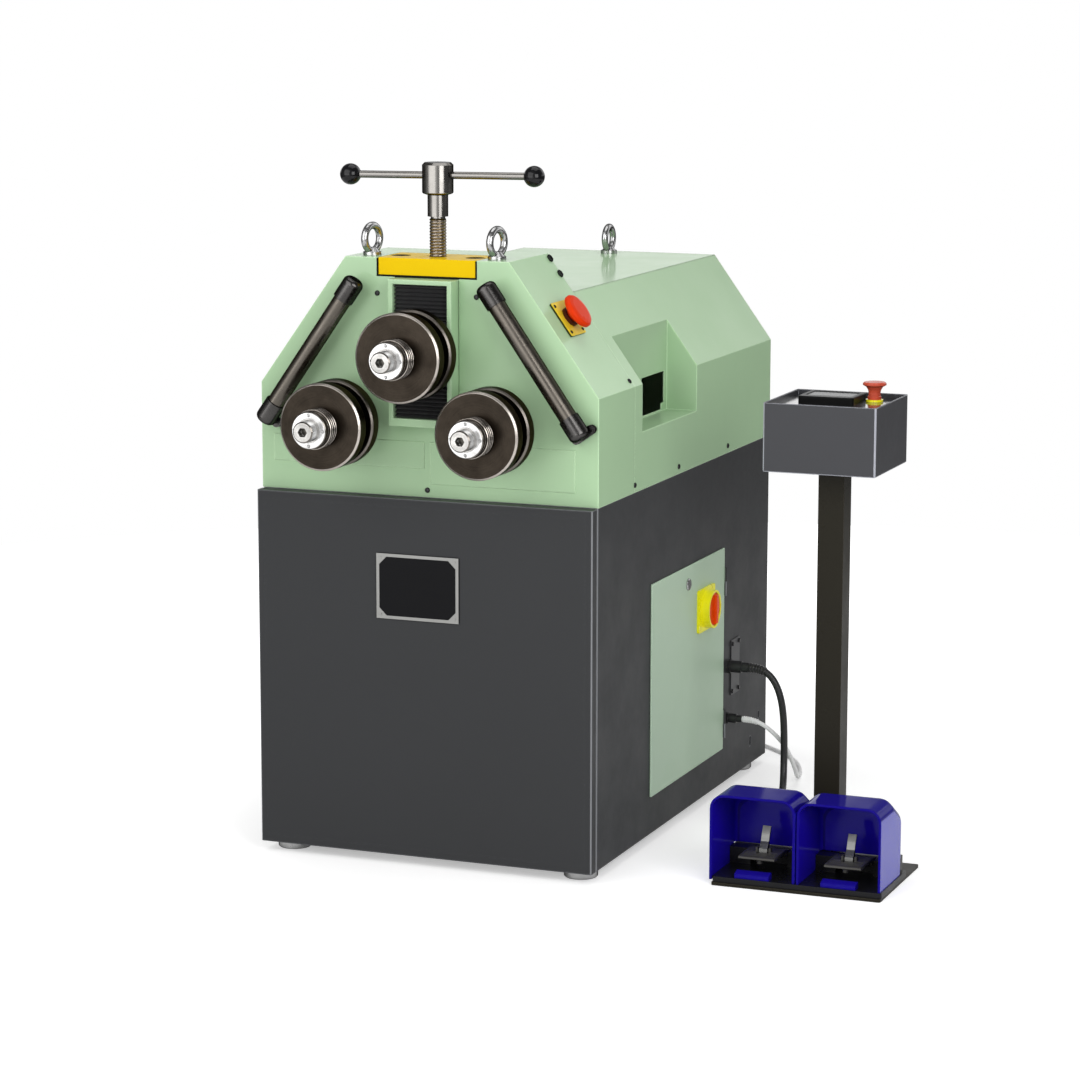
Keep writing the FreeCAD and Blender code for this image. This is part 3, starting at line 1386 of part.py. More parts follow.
def pedestal_stop_button():
    body = new_body("pedestal_stop_button", "pedestal_stop_side", "pedestal_stop_along",
                    "box_high - box_recess")
    turned(body, [[("0", "-2"), ("11.3", "-2"), ("11.3", "9"), ("10", "10"), ("10", "16"),
                   ("11", "20"), ("14", "25"), ("19.5", "28"), ("19.5", "31"), ("17.5", "33"),
                   ("0", "33.5")]])


# ------------------------------------------------------------------ foot pedal

def guard_spans():
    """Outer left and right side of each guard."""
    return [("guard_left", "guard_gap_left"), ("guard_gap_right", "guard_right")]


def pedal_base():
    body = new_body("pedal_base")
    pad(body, "XY_Plane", [rectangle("pedal_left", "pedal_front", "pedal_right", "pedal_back")],
        "foot_plate", "pedal_top")
    round_edges(body, "6", along("z"))
    # casing behind each treadle, and cheeks beside it that carry its axle
    clear = "guard_wall + 0.3"
    for centre, (left, right) in zip(("left_tread", "right_tread"), guard_spans()):
        pad(body, "XY_Plane", [rectangle("%s + %s" % (left, clear), "axle_along + 11",
                                         "%s - (%s)" % (right, clear), "pedal_back - 4")],
            "pedal_top", "guard_skirt - 1")
        sides = [("%s + %s" % (left, clear), centre + " - tread_half - 1"),
                 (centre + " + tread_half + 1", "%s - (%s)" % (right, clear))]
        for near, far in sides:
            pad(body, "XY_Plane", [rectangle(near, "axle_along - 10", far, "axle_along + 11")],
                "pedal_top", "guard_skirt - 1")
        pad(body, "YZ_Plane", [circle("axle_along", "axle_up", "tread_axle")],
            centre + " - tread_half - 2", centre + " + tread_half + 2")


def guard_outline(left, right, high, corner):
    return [(left, "pedal_top"), (right, "pedal_top"), (right, high + " - " + corner),
            (right + " - " + corner, high), (left + " + " + corner, high),
            (left, high + " - " + corner)]


def upper_edges(long):
    """Chooses edges of one length that run front to back above the guards' feet."""
    foot = number("pedal_top") + 1

    def test(edge):
        box = edge.BoundBox
        return (box.XLength < 1e-6 and box.ZLength < 1e-6 and box.ZMin > foot
                and abs(box.YLength - long) < 1e-6)
    return test


def pedal_guards():
    body = new_body("pedal_guards")
    outer = [guard_outline(left, right, "guard_high", "guard_corner")
             for left, right in guard_spans()]
    pad(body, "XZ_Plane", outer, "guard_front", "guard_back")
    round_edges(body, "guard_bend", upper_edges(number("guard_back - guard_front")))
    # slope down to the back
    wedge = [("guard_crest", "guard_high"), ("guard_back", "guard_low_back"),
             ("guard_back + 5", "guard_low_back"), ("guard_back + 5", "guard_high + 1"),
             ("guard_crest", "guard_high + 1")]
    pocket(body, "YZ_Plane", [wedge], "guard_left - 1", "guard_right + 1")
    # room for the shoe, lower under the slope
    inner = [guard_outline(left + " + guard_wall", right + " - guard_wall",
                           "guard_high - guard_wall", "guard_corner") for left, right in guard_spans()]
    pocket(body, "XZ_Plane", inner, "guard_front", "guard_crest - guard_wall")
    round_edges(body, "guard_bend - guard_wall",
                upper_edges(number("guard_crest - guard_wall - guard_front")))
    low = [rectangle(left + " + guard_wall", "pedal_top", right + " - guard_wall",
                     "guard_low_back - guard_wall") for left, right in guard_spans()]
    pocket(body, "XZ_Plane", low, "guard_crest - guard_wall", "guard_back - guard_wall")
    # skirt cut away over the casing
    pocket(body, "YZ_Plane", [rectangle("axle_along - 10", "pedal_top", "guard_back", "guard_skirt")],
           "guard_left - 1", "guard_right + 1")
    # sloped toe ledges behind the open fronts
    for centre in ("left_tread", "right_tread"):
        ledge = [("pedal_front + 2", "pedal_top"), ("pedal_front + 18", "pedal_top"),
                 ("pedal_front + 18", "pedal_top + 9"), ("pedal_front + 6", "pedal_top + 7")]
        pad(body, "YZ_Plane", [ledge], centre + " - tread_half + 1.5", centre + " + tread_half - 1.5")


def treadle(hand):
    centre = hand + "_tread"
    body = new_body(hand + "_treadle")
    left = centre + " - tread_half"
    right = centre + " + tread_half"
    plate = [("tread_front", "tread_up + 2"), ("tread_front + 3", "tread_up + 0.5"),
             ("axle_along - 18", "tread_up + 0.5"), ("axle_along - 5", "axle_up - 6"),
             ("axle_along + 5", "axle_up - 6"), ("axle_along + 7", "axle_up"),
             ("axle_along + 4", "tread_up + 2"), ("axle_along - 14", "tread_up + 6"),
             ("tread_front + 5", "tread_up + 6"), ("tread_front", "tread_up + 5")]
    pad(body, "YZ_Plane", [plate], left, right)
    # stem under the plate that works the contact
    pad(body, "XY_Plane", [circle(centre, "latch_along - 22", "5")], "tread_up - 9", "tread_up + 2")
    pocket(body, "YZ_Plane", [circle("axle_along", "axle_up", "tread_axle + 0.05")], left, right)
    groove = pocket(body, "XY_Plane", [rectangle(left + " + 4", "tread_front + 10", right + " - 4",
                                                 "tread_front + 12")], "tread_up + 5", "tread_up + 6")
    repeat_along(body, groove, "Y_Axis", "24", 5)
    # window in which the latch lever tips, and the lugs with its pin
    pocket(body, "XY_Plane", [centred(centre, "latch_along", "9.5", "12")],
           "tread_up - 4", "tread_up + 7")
    for side in (-1, 1):
        inner = "%s + %g" % (centre, 9.5 * side)
        outer = "%s + %g" % (centre, 13 * side)
        low, high = (inner, outer) if side == 1 else (outer, inner)
        pad(body, "YZ_Plane", [rectangle("latch_along - 5", "tread_up + 5", "latch_along + 5",
                                         "latch_up + 6")], low, high)
    pad(body, "YZ_Plane", [circle("latch_along", "latch_up", "2")],
        centre + " - 10.5", centre + " + 10.5")


def latch(hand):
    """Toe lever: a bent strip that leans back, bored for its pin."""
    centre = hand + "_tread"
    body = new_body(hand + "_latch")
    strip = [("latch_along - 6", "latch_up - 4"), ("latch_along - 3", "latch_up - 5.5"),
             ("latch_along + 5", "latch_up - 3"), ("latch_along + 6", "latch_up + 5"),
             ("latch_along + 8", "latch_up + 15"), ("latch_along + 12", "latch_up + 26"),
             ("latch_along + 18", "latch_up + 37"), ("latch_along + 15.5", "latch_up + 39"),
             ("latch_along + 9", "latch_up + 27"), ("latch_along + 4", "latch_up + 15"),
             ("latch_along - 5", "latch_up + 4")]
    left = centre + " - latch_half"
    right = centre + " + latch_half"
    pad(body, "YZ_Plane", [strip], left, right)
    pocket(body, "YZ_Plane", [circle("latch_along", "latch_up", "2.05")], left, right)


# ------------------------------------------------------------------ the machine

def build():
    fill_sheet()
    cabinet_shell()
    cabinet_front_panel()
    badge_plate()
    cabinet_feet()
    main_frame()
    slide_frame()
    bridge()
    bridge_screws()
    lower_bearings()
    gearmotor()
    front_hood()
    rear_hood()
    eye_bolts()
    guide_bars()
    carriage()
    carriage_bearings()
    bellows("upper_bellows", "upper_up + nose_tall / 2", "slide_open_high", 6)
    bellows("lower_bellows", "slide_open_low", "upper_up - nose_tall / 2", 6)
    lift_screw()
    tommy_bar()
    roll_set("upper", "0", "upper_up", "upper_roll", "carriage_back + 7")
    roll_set("left", "-lower_side", "lower_up", "lower_roll", "gear_back + 5")
    roll_set("right", "lower_side", "lower_up", "lower_roll", "gear_back + 5")
    gears()
    hood_stop()
    side_door()
    switch_parts()
    door_lock()
    switchgear()
    gland_plate()
    cords()
    mains_coil()
    mains_plug()
    pedestal_stand()
    control_box()
    control_panel()
    display_unit()
    pedestal_stop_button()
    pedal_base()
    pedal_guards()
    for hand in ("left", "right"):
        treadle(hand)
        latch(hand)
    doc.recompute()


def check():
    """Every feature computed, every cut removed material, every shape whole."""
    faults = [item.Name + " in " + item.Label for item in doc.Objects
              if {"Invalid", "Error"} & set(item.State)]
    for item in doc.Objects:
        if item.TypeId == "PartDesign::Pocket":
            before = item.BaseFeature.Shape.Volume
            if item.Shape.Volume > before - 1e-3:
                faults.append(item.Name + " cuts nothing in " + item.getParent().Label)
    for item in parts:
        if item.Shape.isNull() or not item.Shape.isValid():
            faults.append(item.Label + " has no valid shape")
    if faults:
        raise ValueError("; ".join(faults))


def write():
    os.makedirs("parts", exist_ok=True)
    for item in parts:
        item.Shape.exportStep("parts/%s.step" % item.Label)
    print(len(parts), "sub-parts written")


build()
check()
write()
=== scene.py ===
"""Ring roller: the finish of every surface, small fasteners and trim, cables and the studio."""
import bmesh
import bpy
import math
from mathutils import Matrix, Vector

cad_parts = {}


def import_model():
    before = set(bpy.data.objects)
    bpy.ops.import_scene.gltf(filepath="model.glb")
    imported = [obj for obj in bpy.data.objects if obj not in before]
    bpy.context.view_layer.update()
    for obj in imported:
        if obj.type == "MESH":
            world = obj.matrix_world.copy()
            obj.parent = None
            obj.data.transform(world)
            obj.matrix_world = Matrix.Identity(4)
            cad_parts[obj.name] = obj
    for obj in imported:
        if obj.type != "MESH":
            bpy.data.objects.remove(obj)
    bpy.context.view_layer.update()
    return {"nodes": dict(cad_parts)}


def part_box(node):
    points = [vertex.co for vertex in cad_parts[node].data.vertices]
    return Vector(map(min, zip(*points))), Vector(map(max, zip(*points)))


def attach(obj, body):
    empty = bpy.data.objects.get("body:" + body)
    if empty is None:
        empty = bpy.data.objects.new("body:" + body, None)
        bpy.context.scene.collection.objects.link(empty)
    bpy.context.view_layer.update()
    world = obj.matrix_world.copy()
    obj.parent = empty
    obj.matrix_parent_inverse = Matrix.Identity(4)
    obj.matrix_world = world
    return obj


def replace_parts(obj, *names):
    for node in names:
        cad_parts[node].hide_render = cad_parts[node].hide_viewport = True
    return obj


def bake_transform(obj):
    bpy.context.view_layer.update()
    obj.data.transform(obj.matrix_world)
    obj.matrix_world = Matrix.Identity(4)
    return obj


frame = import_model()
nodes = frame["nodes"]

MM = 0.001
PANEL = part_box("cabinet_front_panel")
MIDDLE = (PANEL[0].x + PANEL[1].x) / 2
HOOD_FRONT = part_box("front_hood")[0].y


def at(x, y, z):
    """A point in metres, from millimetres right of the mid-plane, behind the hood front and up."""
    return Vector((MIDDLE + x * MM, HOOD_FRONT + y * MM, z * MM))


# ------------------------------------------------------------------ materials

def shade(colour, factor):
    return tuple(min(1.0, channel * factor) for channel in colour)


class Graph:
    """Shader nodes under construction."""

    def __init__(self, tree):
        self.tree = tree

    def node(self, kind, inputs=(), **settings):
        made = self.tree.nodes.new(kind)
        for key, value in settings.items():
            setattr(made, key, value)
        for key, value in dict(inputs).items():
            self.join(value, made.inputs[key])
        return made

    def join(self, value, socket):
        if isinstance(value, bpy.types.NodeSocket):
            self.tree.links.new(value, socket)
        elif hasattr(value, "__len__") and socket.type == "RGBA":
            socket.default_value = (*value[:3], 1)
        else:
            socket.default_value = value

    def maths(self, operation, *values):
        return self.node("ShaderNodeMath", dict(enumerate(values)), operation=operation).outputs[0]

    def vector(self, operation, *values):
        made = self.node("ShaderNodeVectorMath", dict(enumerate(values)), operation=operation)
        return made.outputs["Value" if operation in ("LENGTH", "DOT_PRODUCT") else "Vector"]

    def split(self, value):
        made = self.node("ShaderNodeSeparateXYZ", {0: value})
        return made.outputs[0], made.outputs[1], made.outputs[2]

    def span(self, value, low, high, start=0.0, end=1.0):
        """Maps value, from start to end, onto low to high."""
        inputs = {"Value": value, "From Min": start, "From Max": end, "To Min": low, "To Max": high}
        return self.node("ShaderNodeMapRange", inputs, clamp=True).outputs["Result"]


class Finish(Graph):
    """A material: a Principled shader and the nodes that feed it."""

    def __init__(self, name, **sockets):
        self.material = bpy.data.materials.new(name)
        self.material.use_nodes = True
        super().__init__(self.material.node_tree)
        self.shader = self.tree.nodes["Principled BSDF"]
        self.place = self.node("ShaderNodeTexCoord").outputs["Object"]
        for socket, value in sockets.items():
            self.feed(socket.replace("_", " "), value)

    def feed(self, name, value):
        self.join(value, self.shader.inputs[name])

    def noise(self, scale, detail=2, place=None, rough=0.5):
        inputs = {"Vector": place or self.place, "Scale": scale, "Detail": detail,
                  "Roughness": rough}
        return self.node("ShaderNodeTexNoise", inputs).outputs["Fac"]

    def stretched(self, across, along, up):
        """The place scaled unevenly, for streaks."""
        return self.vector("MULTIPLY", self.place, (across, along, up))

    def mix(self, share, first, second):
        made = self.tree.nodes.new("ShaderNodeMix")
        made.data_type = "RGBA"
        self.join(share, made.inputs[0])
        self.join(first, made.inputs[6])
        self.join(second, made.inputs[7])
        return made.outputs[2]

    def rounded(self, radius):
        """The normal of edges eased by radius, in metres."""
        return self.node("ShaderNodeBevel", {"Radius": radius}, samples=4).outputs[0]

    def true_normal(self):
        return self.node("ShaderNodeNewGeometry").outputs["True Normal"]

    def edges(self, eased, low=0.02, high=0.25):
        """1 on the edges that an eased normal rounds, 0 on the flats."""
        flat = self.node("ShaderNodeNewGeometry").outputs["Normal"]
        dot = self.vector("DOT_PRODUCT", eased, flat)
        return self.span(self.maths("SUBTRACT", 1.0, dot), 0, 1, low, high)

    def bends(self):
        """1 on the rounded bends of square sheet work, 0 on its flats."""
        sides = [self.maths("ABSOLUTE", value) for value in self.split(self.true_normal())]
        squarest = self.maths("MAXIMUM", self.maths("MAXIMUM", sides[0], sides[1]), sides[2])
        return self.span(squarest, 1, 0, 0.93, 0.985)

    def bump(self, height, distance, normal=None):
        inputs = {"Height": height, "Distance": distance}
        if normal is not None:
            inputs["Normal"] = normal
        self.feed("Normal", self.node("ShaderNodeBump", inputs).outputs[0])

    def ring_place(self, centre):
        """Distance from an axis along Y through centre, and depth: the same all round the axis."""
        off = self.vector("SUBTRACT", self.place, tuple(centre))
        far = self.vector("LENGTH", self.vector("MULTIPLY", off, (1, 0, 1)))
        return self.node("ShaderNodeCombineXYZ", {0: far, 1: self.split(off)[1]}).outputs[0]

    def past(self, axis, level, soft=0.2 * MM):
        """1 where the place's coordinate along an axis is above level."""
        return self.span(self.split(self.place)[axis], 0, 1, level - soft, level + soft)


ORANGE_PEEL = 0.04 * MM
# how much lighter the turned steel's sides are painted: a painted sheen
PAINTED_SIDE_SHEEN = 3.6


def painted(name, colour, roughness, edge=1.3, ease=1.6, coat=0.0, specular=0.5, square=False):
    """Sheet paint: faint mottling, orange peel, and lighter edges: thinner film and a painted
    highlight.

    On square sheet work the bends get the painted highlight too.
    """
    finish = Finish(name, Coat_Weight=coat, Coat_Roughness=0.10, Specular_IOR_Level=specular)
    eased = finish.rounded(ease * MM)
    mottled = finish.mix(finish.noise(4, 4), shade(colour, 0.955), shade(colour, 1.045))
    # edges and bends lighter: partly worn film, partly a painted highlight
    worn_and_highlit = finish.edges(eased)
    if square:
        worn_and_highlit = finish.maths("MAXIMUM", worn_and_highlit, finish.bends())
    finish.feed("Base Color", finish.mix(worn_and_highlit, mottled, shade(colour, edge)))
    smudges = finish.noise(11, 5, rough=0.65)
    finish.feed("Roughness", finish.span(smudges, roughness - 0.07, roughness + 0.07, 0.3, 0.7))
    finish.bump(finish.noise(520, 2), ORANGE_PEEL, eased)
    return finish


def moulded(name, colour, roughness, ease=0.6, grain=0.02, specular=0.5):
    """Moulded plastic: fine grain, slight flow marks and softly eased edges."""
    finish = Finish(name, Specular_IOR_Level=specular)
    eased = finish.rounded(ease * MM)
    flow = finish.noise(28, 4)
    finish.feed("Base Color", finish.mix(flow, shade(colour, 0.93), shade(colour, 1.07)))
    finish.feed("Roughness", finish.span(flow, roughness - 0.05, roughness + 0.05, 0.3, 0.7))
    finish.bump(finish.noise(1500, 2), grain * MM, eased)
    return finish


def turned_steel(name, colour, roughness, centre, edge=(0.60, 0.55, 0.50), ease=1.8, dim=0.3,
                 rear=1.0):
    """Steel turned about an axis along Y: tool marks, oil film, painted side sheen, broken edges.

    The broken edges take the edge colour: a bright one is bare steel and a painted highlight, a
    dark one painted shade. Behind the centre they are dimmed to rear, as painted shade.
    """
    finish = Finish(name, Metallic=1.0, Anisotropic=0.55, Specular_Tint=(dim, dim, dim))
    rings = finish.ring_place(centre)
    eased = finish.rounded(ease * MM)
    marks = finish.noise(1900, 3, rings, 0.7)
    film = finish.noise(38, 5, rough=0.6)
    body = finish.mix(finish.span(film, 0, 1, 0.3, 0.7), shade(colour, 0.66), shade(colour, 1.34))
    body = finish.mix(finish.span(marks, 0, 0.5, 0.35, 0.75), body, shade(colour, 1.5))
    slant = finish.maths("ABSOLUTE", finish.split(finish.true_normal())[1])
    # the sides painted lighter than the faces: a painted sheen
    body = finish.mix(finish.span(slant, 0, 1, 0.3, 0.2), body, shade(colour, PAINTED_SIDE_SHEEN))
    chamfer = finish.maths("MULTIPLY", finish.span(slant, 0, 1, 0.25, 0.4),
                           finish.span(slant, 1, 0, 0.85, 0.95))
    # broken edges in the edge colour: when bright, bare steel and a painted highlight; when dark,
    # painted shade
    edge_wear_and_painted_light = finish.maths("MAXIMUM", chamfer, finish.edges(eased, 0.03, 0.2))
    # behind the centre the edges are dimmed: painted shade
    depth = finish.split(finish.place)[1]
    edge_wear_and_painted_light = finish.maths("MULTIPLY", edge_wear_and_painted_light, finish.span(depth, 1, rear, centre.y - MM, centre.y + MM))
    finish.feed("Base Color", finish.mix(edge_wear_and_painted_light, body, edge))
    finish.feed("Roughness", finish.span(marks, roughness - 0.08, roughness + 0.1, 0.3, 0.7))
    tangent = finish.node("ShaderNodeTangent", direction_type="RADIAL", axis="Y")
    finish.feed("Tangent", tangent.outputs[0])
    finish.bump(marks, 0.02 * MM, eased)
    return finish


def drawn_steel(name, colour, roughness, streaks=(40, 40, 900), ease=0.8, stain=0.25, dim=0.2,
                marks=0.02):
    """Ground or drawn bar: streaks round it, faint stains, darker at a grazing look."""
    finish = Finish(name, Metallic=1.0, Specular_Tint=(dim, dim, dim))
    eased = finish.rounded(ease * MM)
    lines = finish.noise(1, 3, finish.stretched(*streaks), 0.6)
    stains = finish.noise(30, 5, rough=0.65)
    body = finish.mix(stains, shade(colour, 1 - stain), shade(colour, 1 + stain))
    # edges lighter: partly worn metal, partly a painted highlight
    finish.feed("Base Color", finish.mix(finish.edges(eased, 0.03, 0.2), body, shade(colour, 1.5)))
    finish.feed("Roughness", finish.span(lines, roughness - 0.06, roughness + 0.1, 0.3, 0.7))
    finish.bump(lines, marks * MM, eased)
    return finish


def cast_metal(name, colour, roughness):
    """Painted casting: a pebbled skin."""
    finish = Finish(name)
    eased = finish.rounded(1.5 * MM)
    skin = finish.noise(420, 4, rough=0.6)
    patches = finish.noise(14, 4)
    finish.feed("Base Color", finish.mix(patches, shade(colour, 0.8), shade(colour, 1.2)))
    finish.feed("Roughness", finish.span(skin, roughness - 0.06, roughness + 0.1, 0.3, 0.7))
    finish.bump(skin, 0.25 * MM, eased)
    return finish


def rubbery(name, colour, roughness):
    """Cable sheath or bellows cloth: matte, dusty, finely lined."""
    finish = Finish(name, Sheen_Weight=0.1, Sheen_Roughness=0.5)
    dust = finish.noise(60, 5, rough=0.65)
    finish.feed("Base Color", finish.mix(dust, shade(colour, 0.85), shade(colour, 1.25)))
    finish.feed("Roughness", finish.span(dust, roughness - 0.06, roughness + 0.08, 0.3, 0.7))
    finish.bump(finish.noise(900, 3), 0.04 * MM)
    return finish


def inlaid(finish, share, colour, roughness=None, metallic=None):
    """Another colour, and finish, over what share picks out of a finished surface."""
    for name, value in (("Base Color", colour), ("Roughness", roughness), ("Metallic", metallic)):
        if value is None:
            continue
        socket = finish.shader.inputs[name]
        before = socket.links[0].from_socket if socket.is_linked else socket.default_value
        if name == "Base Color":
            plain = before if socket.is_linked else tuple(before)
            finish.feed(name, finish.mix(share, plain, value))
        else:
            inputs = {0: share, 2: before, 3: value}
            finish.feed(name, finish.node("ShaderNodeMix", inputs).outputs[0])
    return finish


HOOD_GREEN = (0.392, 0.578, 0.350)
DOOR_GREEN = (0.465, 0.610, 0.458)
CABINET_GREY = (0.0375, 0.0385, 0.0405)
YELLOW = (0.79, 0.52, 0.003)
LIGHT_YELLOW = (1.0, 0.92, 0.010)
RED = (0.82, 0.075, 0.003)
STOP_RED = (0.66, 0.036, 0.004)
GUARD_BLUE = (0.012, 0.004, 0.350)
OUTER_SHADED_BLUE = (0.008, 0.004, 0.200)
ROLL_BROWN = (0.030, 0.024, 0.0185)
BRIGHT = (0.80, 0.785, 0.755)
# dark broken edges of the ring nuts and shaft tips: painted shade
EDGE_SHADE = (0.20, 0.185, 0.165)
SOCKET_SHADE = (0.090, 0.085, 0.075)

hood_paint = painted("hood_paint", HOOD_GREEN, 0.40, edge=1.9, ease=3.6, coat=0.35, specular=0.12)
door_paint = painted("door_paint", DOOR_GREEN, 0.45, edge=1.6, ease=3.0, specular=0.3)
rear_paint = painted("rear_paint", HOOD_GREEN, 0.40, edge=1.9, ease=3.6, coat=0.35, specular=0.12)
# cabinet and box: their edges and bends carry a strong painted highlight
cabinet_paint = painted("cabinet_paint", CABINET_GREY, 0.40, edge=6.0, ease=4.0, specular=0.10,
                        square=True)
box_paint = painted("box_paint", (0.042, 0.043, 0.048), 0.34, edge=9.0, ease=3.0, specular=0.25,
                    square=True)
frame_paint = painted("frame_paint", (0.030, 0.032, 0.033), 0.5, edge=1.6)
bridge_paint = painted("bridge_paint", YELLOW, 0.34, edge=1.25, ease=2.0, specular=0.04)
post_paint = painted("post_paint", (0.019, 0.017, 0.012), 0.32, edge=3.0, ease=1.6, specular=0.08)
black_paint = painted("black_paint", (0.008, 0.008, 0.009), 0.30, edge=1.6, ease=1.2, specular=0.2)
black_oxide = drawn_steel("black_oxide", (0.075, 0.072, 0.070), 0.22, (300, 300, 300), stain=0.3)
dark_screw = drawn_steel("dark_screw", (0.050, 0.050, 0.052), 0.35, (300, 300, 300), ease=0.3,
                         stain=0.3)
zinc = drawn_steel("zinc", (0.48, 0.48, 0.48), 0.20, (90, 90, 90), stain=0.2, dim=0.05)
bright_steel = drawn_steel("bright_steel", (0.25, 0.240, 0.225), 0.18, (30, 30, 30), stain=0.10,
                           dim=0.03, marks=0.003)
thread_steel = drawn_steel("thread_steel", (0.30, 0.26, 0.215), 0.28, stain=0.3, dim=0.05)
gear_steel = drawn_steel("gear_steel", (0.36, 0.36, 0.37), 0.32, (700, 60, 700))
bar_steel = drawn_steel("bar_steel", (0.125, 0.112, 0.096), 0.26, (40, 40, 40), stain=0.10,
                        dim=0.03, marks=0.002)
cast_grey = cast_metal("cast_grey", (0.16, 0.18, 0.19), 0.5)
bellows_cloth = rubbery("bellows_cloth", (0.011, 0.011, 0.012), 0.42)
cable_black = rubbery("cable_black", (0.012, 0.012, 0.013), 0.36)
cable_white = rubbery("cable_white", (0.84, 0.84, 0.84), 0.40)
gloss_black = moulded("gloss_black", (0.005, 0.005, 0.006), 0.08, ease=0.8, grain=0.003,
                      specular=0.3)
matte_black = moulded("matte_black", (0.010, 0.010, 0.009), 0.60, specular=0.03)
grey_plastic = moulded("grey_plastic", (0.42, 0.43, 0.45), 0.45)
yellow_plastic = moulded("yellow_plastic", LIGHT_YELLOW, 0.30, ease=1.0, specular=0.3)
red_plastic = moulded("red_plastic", RED, 0.24, ease=1.2, specular=0.12)
stop_red = moulded("stop_red", STOP_RED, 0.30, ease=1.2, specular=0.04)
stop_yellow = moulded("stop_yellow", (0.80, 0.60, 0.030), 0.34, ease=1.0, specular=0.08)
dull_red = moulded("dull_red", (0.50, 0.070, 0.035), 0.28, ease=1.0, specular=0.3)
# the guards' one blue in three copies: outside darker as painted shade, outer sides lighter as
# painted reflection
guard_inner = moulded("guard_inner", GUARD_BLUE, 0.14, ease=2.4, grain=0.004, specular=0.15)
guard_outer_shaded = moulded("guard_outer_shaded", OUTER_SHADED_BLUE, 0.10, ease=2.4, grain=0.004, specular=0.03)
guard_side_lit = moulded("guard_side_lit", (0.014, 0.012, 0.460), 0.12, ease=2.4, grain=0.004,
                     specular=0.75)
treadle_rubber = moulded("treadle_rubber", (0.050, 0.048, 0.042), 0.42, ease=0.5, grain=0.08)
latch_steel = drawn_steel("latch_steel", (0.17, 0.17, 0.165), 0.32, (40, 300, 900), stain=0.3)


# the hood's right slope, and the stop button on it: its foot's place and heights above the foot
SLOPE = (0.8094, 0, 0.5873)
STOP_SPOT = (215.5, 77, 919.8)
STOP_FOOT = at(*STOP_SPOT)
STOP_RIM, STOP_NECK = 3.0 * MM, 4.4 * MM
STOP_SOFT = 0.3 * MM
BADGE_FACE = at(0, -26.9, 0).y
ENTRY_SHEET = at(302.6, 0, 0).x
DISPLAY_MIDDLE = at(603.5, 295, 0)
SCREEN_HALVES = (38 * MM, 25.5 * MM)
SCREEN_EDGE = 1.5 * MM
DISPLAY_FACE, PANEL_FACE = 788 * MM, 777.3 * MM
REAR_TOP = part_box("rear_hood")[1].z
FOLD_HEIGHT = 7 * MM
DOOR_BACK = at(0, 640, 0).y
SOCKET_RADIUS, SOCKET_SOFT = 7.0 * MM, 0.4 * MM


def position_finishes():
    """Finishes that change over one node: plate, entry, display, panel, hinges, painted shade on
    fold and stop.
    """
    badge = moulded("badge_finish", (0.004, 0.004, 0.005), 0.45, ease=0.3, grain=0.02, specular=0.1)
    raised = badge.span(badge.split(badge.place)[1], 1, 0, BADGE_FACE - 0.1 * MM,
                        BADGE_FACE + 0.1 * MM)
    inlaid(badge, raised, (0.30, 0.30, 0.29), 0.34, 0.9)
    entry = moulded("entry_finish", (0.014, 0.014, 0.015), 0.36)
    sheet = entry.span(entry.split(entry.place)[0], 1, 0, ENTRY_SHEET, ENTRY_SHEET + 0.2 * MM)
    inlaid(entry, sheet, CABINET_GREY, 0.42)
    display = moulded("display_finish", (0.006, 0.006, 0.006), 0.30, ease=0.8, grain=0.003,
                      specular=0.06)
    screen = display.past(2, DISPLAY_FACE)
    for axis, half in enumerate(SCREEN_HALVES):
        off = display.maths("SUBTRACT", display.split(display.place)[axis], DISPLAY_MIDDLE[axis])
        within = display.span(display.maths("ABSOLUTE", off), 1, 0, half, half + SCREEN_EDGE)
        screen = display.maths("MULTIPLY", screen, within)
    inlaid(display, screen, (0.045, 0.047, 0.050), 0.20)
    panel = painted("panel_finish", (0.030, 0.031, 0.034), 0.14, edge=3.0, coat=0.45, specular=0.45)
    inlaid(panel, panel.past(2, PANEL_FACE), LIGHT_YELLOW, 0.3)
    # a dark line painted along the rear hood's top fold: painted shade
    fold_shade = rear_paint.maths("MULTIPLY", rear_paint.edges(rear_paint.rounded(5 * MM), 0.01, 0.1),
                            rear_paint.past(2, REAR_TOP - FOLD_HEIGHT))
    inlaid(rear_paint, fold_shade, shade(HOOD_GREEN, 0.30))
    inlaid(door_paint, door_paint.past(1, DOOR_BACK + 0.3 * MM), CABINET_GREY)
    above = stop_yellow.vector("SUBTRACT", stop_yellow.place, tuple(STOP_FOOT))
    height = stop_yellow.vector("DOT_PRODUCT", SLOPE, above)
    rim_shade = stop_yellow.span(height, 1, 0, STOP_RIM, STOP_RIM + STOP_SOFT)
    neck_shade = stop_yellow.span(height, 0, 1, STOP_NECK, STOP_NECK + STOP_SOFT)
    # the base's dark rim and dark red neck: painted shade
    inlaid(stop_yellow, rim_shade, (0.035, 0.040, 0.012))
    inlaid(stop_yellow, neck_shade, (0.060, 0.012, 0.005))
    return badge.material, entry.material, display.material, panel.material


ROLL_AXES = {}
for hand in ("upper", "left", "right"):
    low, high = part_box(hand + "_roll_discs")
    ROLL_AXES[hand] = (low + high) / 2


